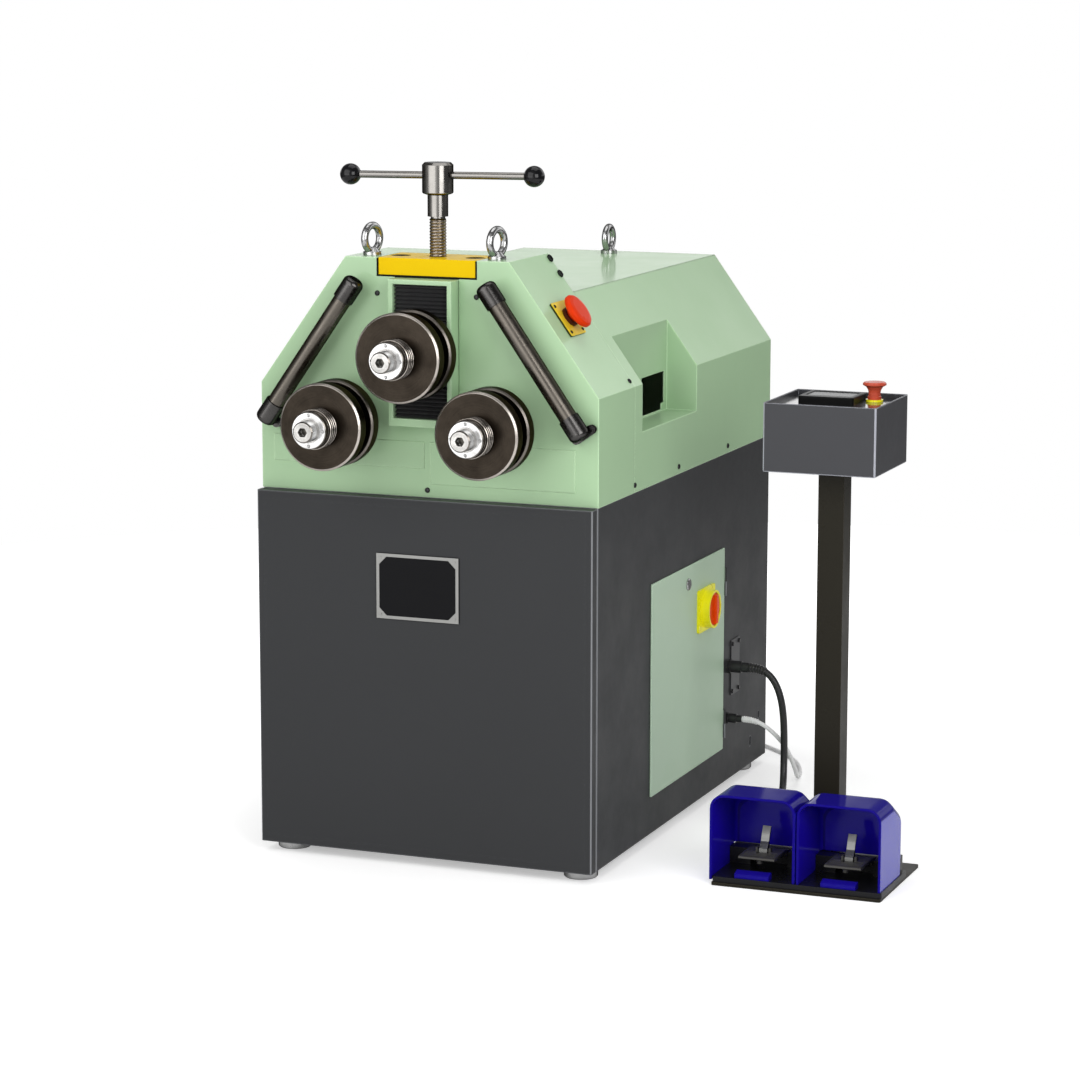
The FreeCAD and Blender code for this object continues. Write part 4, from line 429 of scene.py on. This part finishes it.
def paint_nodes():
    """The finish of every node that keeps its own mesh."""
    badge, entry, display, panel = position_finishes()
    finishes = {
        cabinet_paint: ["cabinet_shell", "cabinet_front_panel"],
        box_paint: ["control_box"],
        hood_paint: ["front_hood", "slide_frame"],
        rear_paint: ["rear_hood"],
        door_paint: ["side_door"],
        frame_paint: ["main_frame", "carriage"],
        bridge_paint: ["bridge"],
        post_paint: ["pedestal_stand"],
        black_paint: ["pedal_base"],
        black_oxide: ["bridge_screws", "bar_brackets"],
        zinc: ["cabinet_feet", "eye_bolts", "door_lock"],
        bright_steel: ["tee_bar", "lower_bearings", "carriage_bearings"],
        latch_steel: ["left_latch", "right_latch"],
        gear_steel: ["drive_pinion", "left_gear", "right_gear"],
        bar_steel: ["guide_bars"],
        cast_grey: ["gearmotor"],
        gloss_black: ["tee_bar_balls"],
        grey_plastic: ["switchgear"],
        yellow_plastic: ["switch_plate"],
        stop_yellow: ["hood_stop_base"],
        stop_red: ["hood_stop_button"],
        red_plastic: ["switch_knob", "mains_plug"],
        dull_red: ["pedestal_stop_button"],
        treadle_rubber: ["left_treadle", "right_treadle"],
    }
    chosen = {finish.material: names for finish, names in finishes.items()}
    chosen.update({badge: ["badge_plate"], entry: ["gland_plate"], display: ["display_unit"],
                   panel: ["control_panel"]})
    for hand, centre in ROLL_AXES.items():
        # rear=0.3: the rear discs' bright edges dimmed, painted shade
        dark = turned_steel(hand + "_roll_steel", ROLL_BROWN, 0.30, centre, rear=0.3)
        rings = turned_steel(hand + "_ring_steel", (0.075, 0.064, 0.054), 0.22, centre, ease=0.9)
        bright = turned_steel(hand + "_nut_steel", BRIGHT, 0.20, centre, EDGE_SHADE, ease=0.8,
                              dim=0.1)
        tip = turned_steel(hand + "_tip_steel", shade(BRIGHT, 0.62), 0.20, centre, EDGE_SHADE,
                           ease=0.8, dim=0.1)
        # the tip's socket painted dark: painted shade in the recess
        off_axis = tip.split(tip.ring_place(centre))[0]
        socket = tip.span(off_axis, 1, 0, SOCKET_RADIUS - SOCKET_SOFT, SOCKET_RADIUS + SOCKET_SOFT)
        inlaid(tip, socket, SOCKET_SHADE)
        chosen[dark.material] = [hand + "_roll_discs"]
        chosen[rings.material] = [hand + "_roll_spacers"]
        chosen[bright.material] = [hand + "_ring_nut"]
        chosen[tip.material] = [hand + "_shaft"]
    for material, names in chosen.items():
        for name in names:
            nodes[name].material_slots[0].material = material


paint_nodes()


# ------------------------------------------------------------------ camera and cables

CAMERA_LENS = 114.35
CAMERA_PLACE = Vector((1.9896, -5.4770, 1.5327))
# which way the camera's own axes point
CAMERA_RIGHT = Vector((0.92989, 0.36784, 0.00108))
CAMERA_UP = Vector((-0.06464, 0.16050, 0.98492))
CAMERA_BACK = Vector((0.36212, -0.91593, 0.17302))


def camera():
    """Stands where the picture was taken from: right of the machine, a little above it."""
    data = bpy.data.cameras.new("camera")
    data.sensor_width = 36
    data.lens = CAMERA_LENS
    data.clip_end = 60
    made = bpy.data.objects.new("camera", data)
    turn = Matrix((CAMERA_RIGHT, CAMERA_UP, CAMERA_BACK)).transposed().to_4x4()
    made.matrix_world = Matrix.Translation(CAMERA_PLACE) @ turn
    bpy.context.scene.collection.objects.link(made)
    bpy.context.scene.camera = made


def spline_object(name, points, radius=0.0):
    """A curve of one smooth spline through the control points of a route."""
    data = bpy.data.curves.new(name, "CURVE")
    data.dimensions = "3D"
    data.bevel_depth = radius
    data.bevel_resolution = 4
    data.resolution_u = 6
    data.use_fill_caps = radius > 0
    spline = data.splines.new("NURBS")
    spline.points.add(len(points) - 1)
    for point, spot in zip(spline.points, points):
        point.co = (*spot, 1)
    spline.order_u = 3
    spline.use_endpoint_u = True
    return bpy.data.objects.new(name, data)


def curve_cord(name, points, radius, finish):
    made = spline_object(name, points, radius)
    made.data.materials.append(finish.material)
    bpy.context.scene.collection.objects.link(made)
    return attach(made, "machine")


def piece(name, shape, finishes, body="machine", sharp=35):
    """A solid of its own from mesh code, shaded smooth up to an angle."""
    data = bpy.data.meshes.new(name)
    bmesh.ops.recalc_face_normals(shape, faces=shape.faces)
    shape.to_mesh(data)
    shape.free()
    for finish in finishes:
        data.materials.append(finish.material)
    data.polygons.foreach_set("use_smooth", [True] * len(data.polygons))
    data.set_sharp_from_angle(angle=math.radians(sharp))
    made = bpy.data.objects.new(name, data)
    bpy.context.scene.collection.objects.link(made)
    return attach(made, body) if body else made


def bridged(shape, rings, closed=True):
    """Faces between rings of points, each as long as the next; closed fills both ends."""
    rows = [[shape.verts.new(spot) for spot in ring] for ring in rings]
    for before, after in zip(rows, rows[1:]):
        count = len(before)
        for k in range(count):
            shape.faces.new((before[k], before[(k + 1) % count], after[(k + 1) % count], after[k]))
    if closed:
        shape.faces.new(rows[0])
        shape.faces.new(rows[-1])


SCREW_SIDES = 24


def turned_rings(profile, base, facing, hex_rings):
    """Rings of a turned form: its profile is (radius, height) pairs up from base along facing.

    The rings whose numbers are in hex_rings are hexagons.
    """
    turn = Vector((0, 0, 1)).rotation_difference(Vector(facing).normalized())
    rings = []
    for number, (radius, height) in enumerate(profile):
        ring = []
        for k in range(SCREW_SIDES):
            angle = 2 * math.pi * k / SCREW_SIDES
            far = radius
            if number in hex_rings:
                far /= math.cos((angle % (math.pi / 3)) - math.pi / 6)
            spot = Vector((far * math.cos(angle), far * math.sin(angle), height)) * MM
            ring.append(base + turn @ spot)
        rings.append(ring)
    return rings


RELIEF_SIDES = 20


def relief(name, points, widths, finish):
    """A tapered, ribbed sleeve that follows a cord from its exit: widths are (along, radius)."""
    line_object = spline_object(name + "_line", points)
    line_data = bpy.data.meshes.new_from_object(line_object)
    line = [vert.co.copy() for vert in line_data.vertices]
    bpy.data.objects.remove(line_object)
    bpy.data.meshes.remove(line_data)
    gone = [0.0]
    for before, after in zip(line, line[1:]):
        gone.append(gone[-1] + (after - before).length)
    rings = []
    for along, radius in widths:
        k = max(j for j in range(len(line) - 1) if gone[j] <= along * MM)
        share = (along * MM - gone[k]) / (gone[k + 1] - gone[k])
        middle = line[k].lerp(line[k + 1], share)
        ahead = (line[k + 1] - line[k]).normalized()
        flat = ahead.cross(Vector((0, 1, 0))).normalized()
        over = flat.cross(ahead)
        rings.append([middle + (flat * math.cos(turn) + over * math.sin(turn)) * radius * MM
                      for turn in (2 * math.pi * j / RELIEF_SIDES for j in range(RELIEF_SIDES))])
    shape = bmesh.new()
    bridged(shape, rings)
    return piece(name, shape, [finish])


def ribs(start, pitch, count, thick, thin, taper):
    """(along, radius) pairs of a sleeve with rounded ribs that gets thinner along its length."""
    widths = [(start - pitch / 2, thin)]
    for k in range(count):
        less = taper * k / count
        low = start + k * pitch
        widths += [(low, thin - less), (low + 0.25 * pitch, thick - less),
                   (low + 0.6 * pitch, thick - less), (low + 0.8 * pitch, thin - less)]
    return widths + [(start + count * pitch, thin - taper)]


CONTROL_ROUTE = [
    (340, 671, 231), (363, 671, 231), (382, 671, 220), (395.5, 671, 200), (404, 671, 173),
    (408, 671, 142), (409.5, 670.5, 108), (410, 670, 80), (411, 666, 54), (414, 655, 30),
    (419, 634, 14), (426, 604, 7.2), (440, 546, 7), (464, 474, 7), (491, 402, 8), (506, 333, 13),
    (516.3, 295, 15), (531.9, 276.3, 19), (554, 266, 24), (576, 266, 24)]
MAINS_ROUTE = [
    (332, 662, 137), (350, 662, 137), (371, 665, 130), (390, 675, 112), (404, 692, 88),
    (410, 714, 60), (410, 738, 34), (406, 766, 13), (399, 800, 4.2), (386, 850, 4.2),
    (362, 905, 4.2), (325, 955, 4.2), (277, 1000, 4.2), (233, 1036, 4.2)]
COIL = Vector((200, 996, 12.2))
COIL_RADIUS = 48
# where each turn lies in the bundle: outward from its middle and up
COIL_SLOTS = [(4.1, -8.0), (-4.1, -8.0), (-8.6, 0), (0, 0), (8.6, 0), (4.1, 8.0), (-4.1, 8.0)]
# in degrees: where the lead reaches the coil and leaves it, how long it takes to change places,
# how much before a full turn the first change ends, and about what follows the last one
COIL_START, COIL_END = 50.5, 90
COIL_SHIFT = 45
FIRST_CHANGE = 5
LAST_TURN = 240
# points a turn
COIL_STEPS = 16


def coil_route():
    """The turns of the put-away lead, each changing its place a little before the last one did."""
    changes = [COIL_START - FIRST_CHANGE + 360 * k - COIL_SHIFT * (k - 1)
               for k in range(1, len(COIL_SLOTS))]
    end = COIL_END + 360 * round((changes[-1] + LAST_TURN - COIL_END) / 360)
    step = 360 / COIL_STEPS
    count = int((end - COIL_START) / step)
    spots = []
    for k in range(1, count + 1):
        turn = COIL_START + k * (end - COIL_START) / count
        done = sum(1 for change in changes if turn >= change)
        out, up = COIL_SLOTS[done]
        if done < len(changes) and turn > changes[done] - COIL_SHIFT:
            share = (turn - changes[done] + COIL_SHIFT) / COIL_SHIFT
            share = share * share * (3 - 2 * share)
            further, higher = COIL_SLOTS[done + 1]
            out += (further - out) * share
            up += (higher - up) * share
        far = COIL_RADIUS + out
        spots.append((COIL.x + far * math.cos(math.radians(turn)),
                      COIL.y + far * math.sin(math.radians(turn)), COIL.z + up))
    return spots


camera()
control_points = [at(*spot) for spot in CONTROL_ROUTE]
control_cable = curve_cord("control_cord", control_points, 0.0065, cable_black)
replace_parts(control_cable, "control_cable")
control_ribs = ribs(start=3, pitch=5, count=6, thick=9.6, thin=8.6, taper=1.4)
control_relief = relief("control_relief", control_points, control_ribs, cable_black)

LEAD_TO_PLUG = [(186, 1043, 22), (176, 1044, 23.2), (166, 1044, 24.4)]
mains_points = [at(*spot) for spot in MAINS_ROUTE + coil_route() + LEAD_TO_PLUG]
mains_cable = curve_cord("mains_cord", mains_points, 0.004, cable_white)
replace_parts(mains_cable, "mains_cable", "mains_coil")
mains_ribs = ribs(start=2.5, pitch=4, count=7, thick=6.0, thin=5.1, taper=0.7)
mains_relief = relief("mains_relief", mains_points, mains_ribs, cable_white)


# ------------------------------------------------------------------ moving soft and threaded parts

PLEATS = 9
PLEAT_DEPTH = 7 * MM
# one pleat from valley to crest and back: share of its height, share of its depth
PLEAT_WAVE = ((0, 1.0), (0.14, 0.86), (0.36, 0.12), (0.5, 0), (0.64, 0.12), (0.86, 0.86))
HEM_WIDTH, HEM_BACK = 1.2 * MM, 0.8 * MM


def bellows(name, node):
    """Finely pleated cloth in front of the slot, filling the node's box."""
    low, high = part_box(node)
    outline = []
    tall = (high.z - low.z) / PLEATS
    for k in range(PLEATS):
        for share, depth in PLEAT_WAVE:
            outline.append((low.y + PLEAT_DEPTH * depth, low.z + (k + share) * tall))
    outline.append((low.y + PLEAT_DEPTH, high.z))
    shape = bmesh.new()
    rows = [[(x, y, z) for y, z in outline] + [(x, high.y, z) for y, z in reversed(outline)]
            for x in (low.x, low.x + HEM_WIDTH, high.x - HEM_WIDTH, high.x)]
    for k in (0, 3):
        rows[k] = [(x, y + (HEM_BACK if y < high.y - MM else 0), z) for x, y, z in rows[k]]
    bridged(shape, rows)
    made = piece(name, shape, [bellows_cloth], body=None, sharp=50)
    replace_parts(made, node)
    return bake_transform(made)


bellows("upper_pleats", "upper_bellows")
bellows("lower_pleats", "lower_bellows")

SCREW_AXIS = at(0, 48, 0)
SHANK_RADIUS, THREAD_RADIUS = 14.0, 13.95
THREAD_LOW = 946
THREAD_PITCH, THREAD_DEPTH = 5.0, 1.5
# the groove is deepest in mid pitch, and gone at GROOVE_PEAK / FLANK_SLOPE of half a pitch
GROOVE_PEAK, FLANK_SLOPE = 1.15, 1.6
THREAD_SIDES, RINGS_A_TURN = 40, 6


def lifting_screw():
    """The lifting screw with its thread cut into the shank: the shank's plain skin is left out."""
    shape = bmesh.new()
    shape.from_mesh(nodes["lift_screw"].data)
    plain = [face for face in shape.faces
             if all(abs((vert.co - SCREW_AXIS).xy.length - SHANK_RADIUS * MM) < 0.1 * MM
                    for vert in face.verts)
             and face.calc_center_median().z > THREAD_LOW * MM]
    bottom = min(vert.co.z for face in plain for vert in face.verts) / MM
    top = max(vert.co.z for face in plain for vert in face.verts) / MM
    bmesh.ops.delete(shape, geom=plain, context="FACES")
    steps = int((top - bottom) / THREAD_PITCH * RINGS_A_TURN)
    rings = []
    for k in range(steps + 1):
        level = bottom + (top - bottom) * k / steps
        ring = []
        for j in range(THREAD_SIDES):
            turn = 2 * math.pi * j / THREAD_SIDES
            wave = ((level / THREAD_PITCH - j / THREAD_SIDES) % 1.0) * 2 - 1
            groove = max(0.0, GROOVE_PEAK - FLANK_SLOPE * abs(wave)) / GROOVE_PEAK
            far = SHANK_RADIUS if k in (0, steps) else THREAD_RADIUS - THREAD_DEPTH * groove
            off = Vector((far * math.cos(turn), far * math.sin(turn), level))
            ring.append(SCREW_AXIS + off * MM)
        rings.append(ring)
    old = set(shape.faces)
    bridged(shape, rings, closed=False)
    for face in shape.faces:
        face.material_index = 0 if face in old else 1
    made = piece("lifting_screw", shape, [bright_steel, thread_steel], "screw", 30)
    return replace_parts(made, "lift_screw")


lifting_screw()


# ------------------------------------------------------------------ small fasteners and trim

# (radius, height) of each head from its rim to the middle of its socket, in millimetres
BUTTON_HEAD = [(4.4, -0.4), (4.5, 0.4), (4.2, 1.5), (3.3, 2.4), (2.1, 2.7), (1.9, 2.7), (1.9, 1.2),
               (0.3, 1.1)]
PLATE_SCREW = [(2.9, -0.4), (3.0, 0.5), (2.6, 1.3), (1.6, 1.7), (1.3, 1.7), (1.3, 0.9), (0.2, 0.8)]
HEX_BOLT = [(5.6, -0.5), (5.8, 0.3), (5.8, 3.6), (5.0, 4.2), (0.4, 4.2)]


def fasteners(name, heads, profile, finish, hex_rings=(5, 6)):
    """Screw heads, each at a spot and facing a way."""
    shape = bmesh.new()
    for spot, facing in heads:
        bridged(shape, turned_rings(profile, at(*spot), facing, hex_rings))
    piece(name, shape, [finish])


LEFT_SLOPE = (-SLOPE[0], 0, SLOPE[2])
FRONTWARD, RIGHTWARD, LEFTWARD = (0, -1, 0), (1, 0, 0), (-1, 0, 0)

# places of the hood's screws, of the bolts on its front part's rear edge and of the plates' screws
HOOD_SIDE, SIDE_SCREW_UP = 301, 637
SIDE_SCREWS_ALONG = (170, 390, 655)
EDGE_BOLTS_ALONG = 163
EDGE_BOLTS = ((151, 1008.7), (169, 983.9))
ENTRY_FACE = 302.5
ENTRY_ALONG, ENTRY_UP = (692, 729), (179, 269)
STOP_SCREW_OUT, STOP_SCREW_UP = 25, 4
FRONT_SCREWS = ((-88, 958), (88, 958), (0, 636))
SLOPE_SCREW = (294, 160, 811.7)

hood_heads = [((x, 0, z), FRONTWARD) for x, z in FRONT_SCREWS]
edge_heads = []
for side, facing, slope in ((1, RIGHTWARD, SLOPE), (-1, LEFTWARD, LEFT_SLOPE)):
    hood_heads += [((side * HOOD_SIDE, along, SIDE_SCREW_UP), facing)
                   for along in SIDE_SCREWS_ALONG]
    hood_heads.append(((side * SLOPE_SCREW[0], *SLOPE_SCREW[1:]), slope))
    edge_heads += [((side * x, EDGE_BOLTS_ALONG, z), slope) for x, z in EDGE_BOLTS]
fasteners("hood_screws", hood_heads, BUTTON_HEAD, dark_screw)
fasteners("hood_edge_bolts", edge_heads, HEX_BOLT, dark_screw,
          hex_rings=(0, 1, 2, 3))
entry_heads = [((ENTRY_FACE, along, up), RIGHTWARD) for along in ENTRY_ALONG for up in ENTRY_UP]
fasteners("entry_screws", entry_heads, PLATE_SCREW, dark_screw)
stop_heads = []
for across in (-STOP_SCREW_OUT, STOP_SCREW_OUT):
    for along in (-STOP_SCREW_OUT, STOP_SCREW_OUT):
        stop_heads.append(((STOP_SPOT[0] + across * SLOPE[2] + STOP_SCREW_UP * SLOPE[0],
                            STOP_SPOT[1] + along,
                            STOP_SPOT[2] - across * SLOPE[0] + STOP_SCREW_UP * SLOPE[2]), SLOPE))
fasteners("stop_plate_screws", stop_heads, PLATE_SCREW, dark_screw)


def slab(shape, low, high, ease, proud=0.8):
    """A thin cover with eased outer edges, on the plane y = 0."""
    rings = []
    for inset, depth in ((0, 0.3), (0, ease - proud), (ease, -proud)):
        rings.append([at(x, depth, z) for x, z in (
            (low[0] + inset, low[1] + inset), (high[0] - inset, low[1] + inset),
            (high[0] - inset, high[1] - inset), (low[0] + inset, high[1] - inset))])
    bridged(shape, rings)


# lower left and upper right corner of each cover
COVERS = (((5, 646), (261, 716)), ((-279, 671), (-5, 716)))
# a black strip in the gap round the bridge's sides and foot: a painted shadow gap
GAP_SHADE_OUTER, GAP_SHADE_INNER = 89, 86.3
GAP_SHADE_FOOT, GAP_SHADE_EDGE, GAP_SHADE_TOP = 986, 988.8, 1016
GAP_SHADE_STRIPS = (((-GAP_SHADE_OUTER, GAP_SHADE_FOOT), (-GAP_SHADE_INNER, GAP_SHADE_TOP)),
               ((GAP_SHADE_INNER, GAP_SHADE_FOOT), (GAP_SHADE_OUTER, GAP_SHADE_TOP)),
               ((-GAP_SHADE_INNER, GAP_SHADE_FOOT), (GAP_SHADE_INNER, GAP_SHADE_EDGE)))

covers = bmesh.new()
for low, high in COVERS:
    slab(covers, low, high, 0.4)
piece("hood_covers", covers, [hood_paint])

# the painted shadow gap round the bridge
gap_shade = bmesh.new()
for low, high in GAP_SHADE_STRIPS:
    slab(gap_shade, low, high, 0.3, 0.6)
piece("bridge_gap_shade", gap_shade, [matte_black])

CAP = [(15.2, -3.0), (15.9, -2.5), (15.9, -0.9), (15.1, -0.2), (5.4, -0.2), (5.2, -1.6),
       (0.3, -1.6)]
cap_heads = [((x, 48, 1017), (0, 0, 1)) for x in (-66, 66)]
fasteners("bridge_caps", cap_heads, CAP, matte_black, hex_rings=(4, 5))


# ------------------------------------------------------------------ pedal guards

# left, right and the foot of the left wall: the first one stands beside the base, so its wall
# comes down past the base's top
GUARDS = ((475, 621, 8), (624, 766, 14))
GUARD_WALL = 4.0
GUARD_ROUND = 24
GUARD_LOW, GUARD_TOP = 14, 152
GUARD_FRONT, GUARD_CREST, GUARD_BACK = 60, 136, 189
GUARD_BACK_TOP = 122
GUARD_SKIRT = 42
SKIRT_END = 178
BACK_ROUND = 11
LEDGE_HALF = 29.5
LEDGE_MIDDLES = (548, 695)
# (behind the hood's front, height) of the toe ledges' top, from front to back
LEDGE_PROFILE = ((GUARD_FRONT, 20), (GUARD_FRONT + 1.5, 22), (74, 25.5), (76, 24), (76.2, 14))


def guard_section(left, right, top, lows, inset):
    """One section across a guard: up one side, over rounded shoulders and down the other."""
    left, right, top = left + inset, right - inset, top - inset * 0.6
    low, right_low = lows
    spots = [(left, low + (top - GUARD_ROUND - low) * k / 4) for k in range(4)]
    for centre, start in ((left + GUARD_ROUND, math.pi), (right - GUARD_ROUND, math.pi / 2)):
        for k in range(9):
            turn = start - math.pi / 2 * k / 8
            spots.append((centre + GUARD_ROUND * math.cos(turn),
                          top - GUARD_ROUND + GUARD_ROUND * math.sin(turn)))
    return spots + [(right, right_low + (top - GUARD_ROUND - right_low) * k / 4)
                    for k in range(3, -1, -1)]


def guard(shape, left, right, left_low):
    """A moulded cover over one pedal: open in front, sloped and rounded behind."""
    rows = []
    stations = [(y, 0, (left_low, GUARD_LOW))
                for y in (GUARD_FRONT, 70, 100, GUARD_CREST - 4, GUARD_CREST, 160, SKIRT_END - 0.1)]
    stations += [(GUARD_BACK - BACK_ROUND * (1 - math.sin(turn)), BACK_ROUND * (1 - math.cos(turn)),
                  (GUARD_SKIRT, GUARD_SKIRT)) for turn in (math.pi / 2 * k / 6 for k in range(7))]
    for y, inset, lows in stations:
        fall = max(0.0, y - GUARD_CREST) / (GUARD_BACK - GUARD_CREST)
        top = GUARD_TOP - (GUARD_TOP - GUARD_BACK_TOP) * fall
        rows.append([shape.verts.new(at(x, y, z))
                     for x, z in guard_section(left, right, top, lows, inset)])
    for before, after in zip(rows, rows[1:]):
        for k in range(len(before) - 1):
            shape.faces.new((before[k], before[k + 1], after[k + 1], after[k]))
    shape.faces.new(rows[-1])


shells = bmesh.new()
for left, right, left_low in GUARDS:
    guard(shells, left, right, left_low)
bmesh.ops.recalc_face_normals(shells, faces=shells.faces)
outside = set(shells.faces)
bmesh.ops.solidify(shells, geom=shells.faces[:], thickness=GUARD_WALL * MM)
# one blue moulding: outside and rims painted darker, painted shade; outer sides lighter, painted
# reflection
# 0 is the outside and the rims, 1 the inside, 2 the outer sides
for face in shells.faces:
    face.normal_update()
    if face in outside:
        face.material_index = 2 if abs(face.normal.x) > 0.98 else 0
    else:
        face.material_index = 0 if face.normal.y < -0.9 and face.calc_area() < 1e-3 else 1
for middle in LEDGE_MIDDLES:
    rows = []
    for y, top in LEDGE_PROFILE:
        rows.append([at(middle + side * LEDGE_HALF, y, z) for side, z in
                     ((-1, GUARD_LOW), (-1, top), (1, top), (1, GUARD_LOW))])
    bridged(shells, rows)
guards = piece("guard_shells", shells, [guard_outer_shaded, guard_inner, guard_side_lit],
               sharp=40)
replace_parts(guards, "pedal_guards")


# ------------------------------------------------------------------ studio

def lamp(name, place, target, size, power):
    data = bpy.data.lights.new(name, "AREA")
    data.shape = "RECTANGLE"
    data.size, data.size_y = size
    data.energy = power
    made = bpy.data.objects.new(name, data)
    look = Vector(target) - Vector(place)
    made.rotation_euler = look.to_track_quat("-Z", "Y").to_euler()
    made.location = place
    bpy.context.scene.collection.objects.link(made)


AMBIENT = 0.42
# how bright gloss sees the room: its flanks, its front and the front's foot, a low band behind,
# and a window above that on the right
FLANKS, FRONT, FRONT_FOOT, REAR_BAND, WINDOW = 0.13, 0.45, 0.8, 1.4, 2.0
FRONT_WAY = (-0.19, -0.98, 0)


def world():
    """A white room: even light, and for gloss bright and dark parts round the object."""
    made = bpy.data.worlds.new("studio")
    made.use_nodes = True
    graph = Graph(made.node_tree)
    ground = made.node_tree.nodes["Background"]
    ground.inputs["Color"].default_value = (1, 1, 1, 1)
    path = graph.node("ShaderNodeLightPath").outputs
    way = graph.node("ShaderNodeTexCoord").outputs["Generated"]
    right, back, up = graph.split(way)
    toward = graph.vector("DOT_PRODUCT", way, FRONT_WAY)
    foot = graph.maths("MULTIPLY", graph.span(toward, 0, FRONT_FOOT, 0.80, 0.93),
                       graph.span(up, 1, 0, 0.02, 0.12))
    front = graph.maths("ADD", graph.span(toward, FLANKS, FRONT, 0.35, 0.65), foot)
    low = graph.maths("MULTIPLY", graph.span(up, 0, REAR_BAND, -0.02, 0.06),
                      graph.span(up, 1, 0.25, 0.21, 0.27))
    rear = graph.maths("MULTIPLY", low, graph.span(back, 0, 1, 0.1, 0.5))
    window = graph.maths("MULTIPLY", graph.span(right, 0, WINDOW, 0.200, 0.222),
                         graph.span(up, 0, 1, 0.22, 0.27))
    window = graph.maths("MULTIPLY", window, graph.span(back, 0, 1, 0.5, 0.8))
    gloss = graph.maths("MAXIMUM", front, graph.maths("MAXIMUM", rear, window))
    level = graph.maths("ADD", AMBIENT, graph.maths(
        "MULTIPLY", path["Is Glossy Ray"], graph.maths("SUBTRACT", gloss, AMBIENT)))
    seen = graph.maths("MAXIMUM", path["Is Camera Ray"], path["Is Transmission Ray"])
    graph.join(graph.maths("MAXIMUM", level, seen), ground.inputs["Strength"])
    bpy.context.scene.world = made


FLOOR_RADIUS = 3.2
FLOOR_SIDES = 96
# the floor's own light near the object; between these radii it grows to white
FLOOR_NEAR = 0.42
WHITE_FROM, WHITE_AT = 0.6, 1.35
FLOOR_GLOSS = 0.12


def floor():
    """A round pale floor that reads as white further out and keeps the object's shadow."""
    shape = bmesh.new()
    corners = [shape.verts.new((FLOOR_RADIUS * math.cos(turn), FLOOR_RADIUS * math.sin(turn), 0))
               for turn in (2 * math.pi * k / FLOOR_SIDES for k in range(FLOOR_SIDES))]
    shape.faces.new(corners)
    data = bpy.data.meshes.new("floor")
    shape.to_mesh(data)
    shape.free()
    made = bpy.data.objects.new("floor", data)
    bpy.context.scene.collection.objects.link(made)
    finish = Finish("floor_pale", Base_Color=(0.84, 0.84, 0.84), Specular_IOR_Level=0.0)
    finish.feed("Roughness", finish.span(finish.noise(3, 3), 0.8, 0.95))
    path = finish.node("ShaderNodeLightPath").outputs
    gloss = finish.maths("MAXIMUM", path["Is Glossy Ray"], path["Is Transmission Ray"])
    far = finish.vector("LENGTH", finish.place)
    finish.feed("Emission Color", (1, 1, 1))
    white = finish.span(far, FLOOR_NEAR, 1.0, WHITE_FROM, WHITE_AT)
    direct = finish.maths("MULTIPLY", path["Is Camera Ray"], white)
    mirrored = finish.maths("MULTIPLY", gloss, FLOOR_GLOSS)
    finish.feed("Emission Strength", finish.maths("MAXIMUM", direct, mirrored))
    data.materials.append(finish.material)


world()
floor()
lamp("key", (-1.8, -4.4, 2.5), (0, 0, 0.7), (5.0, 4.4), 140)
lamp("fill", (1.9, -2.0, 1.6), (0.0, -0.1, 0.75), (1.6, 1.6), 38)
lamp("top", (0.0, 0.2, 3.8), (0, 0, 0.8), (2.4, 2.4), 28)
bpy.context.scene.view_settings.view_transform = "Standard"
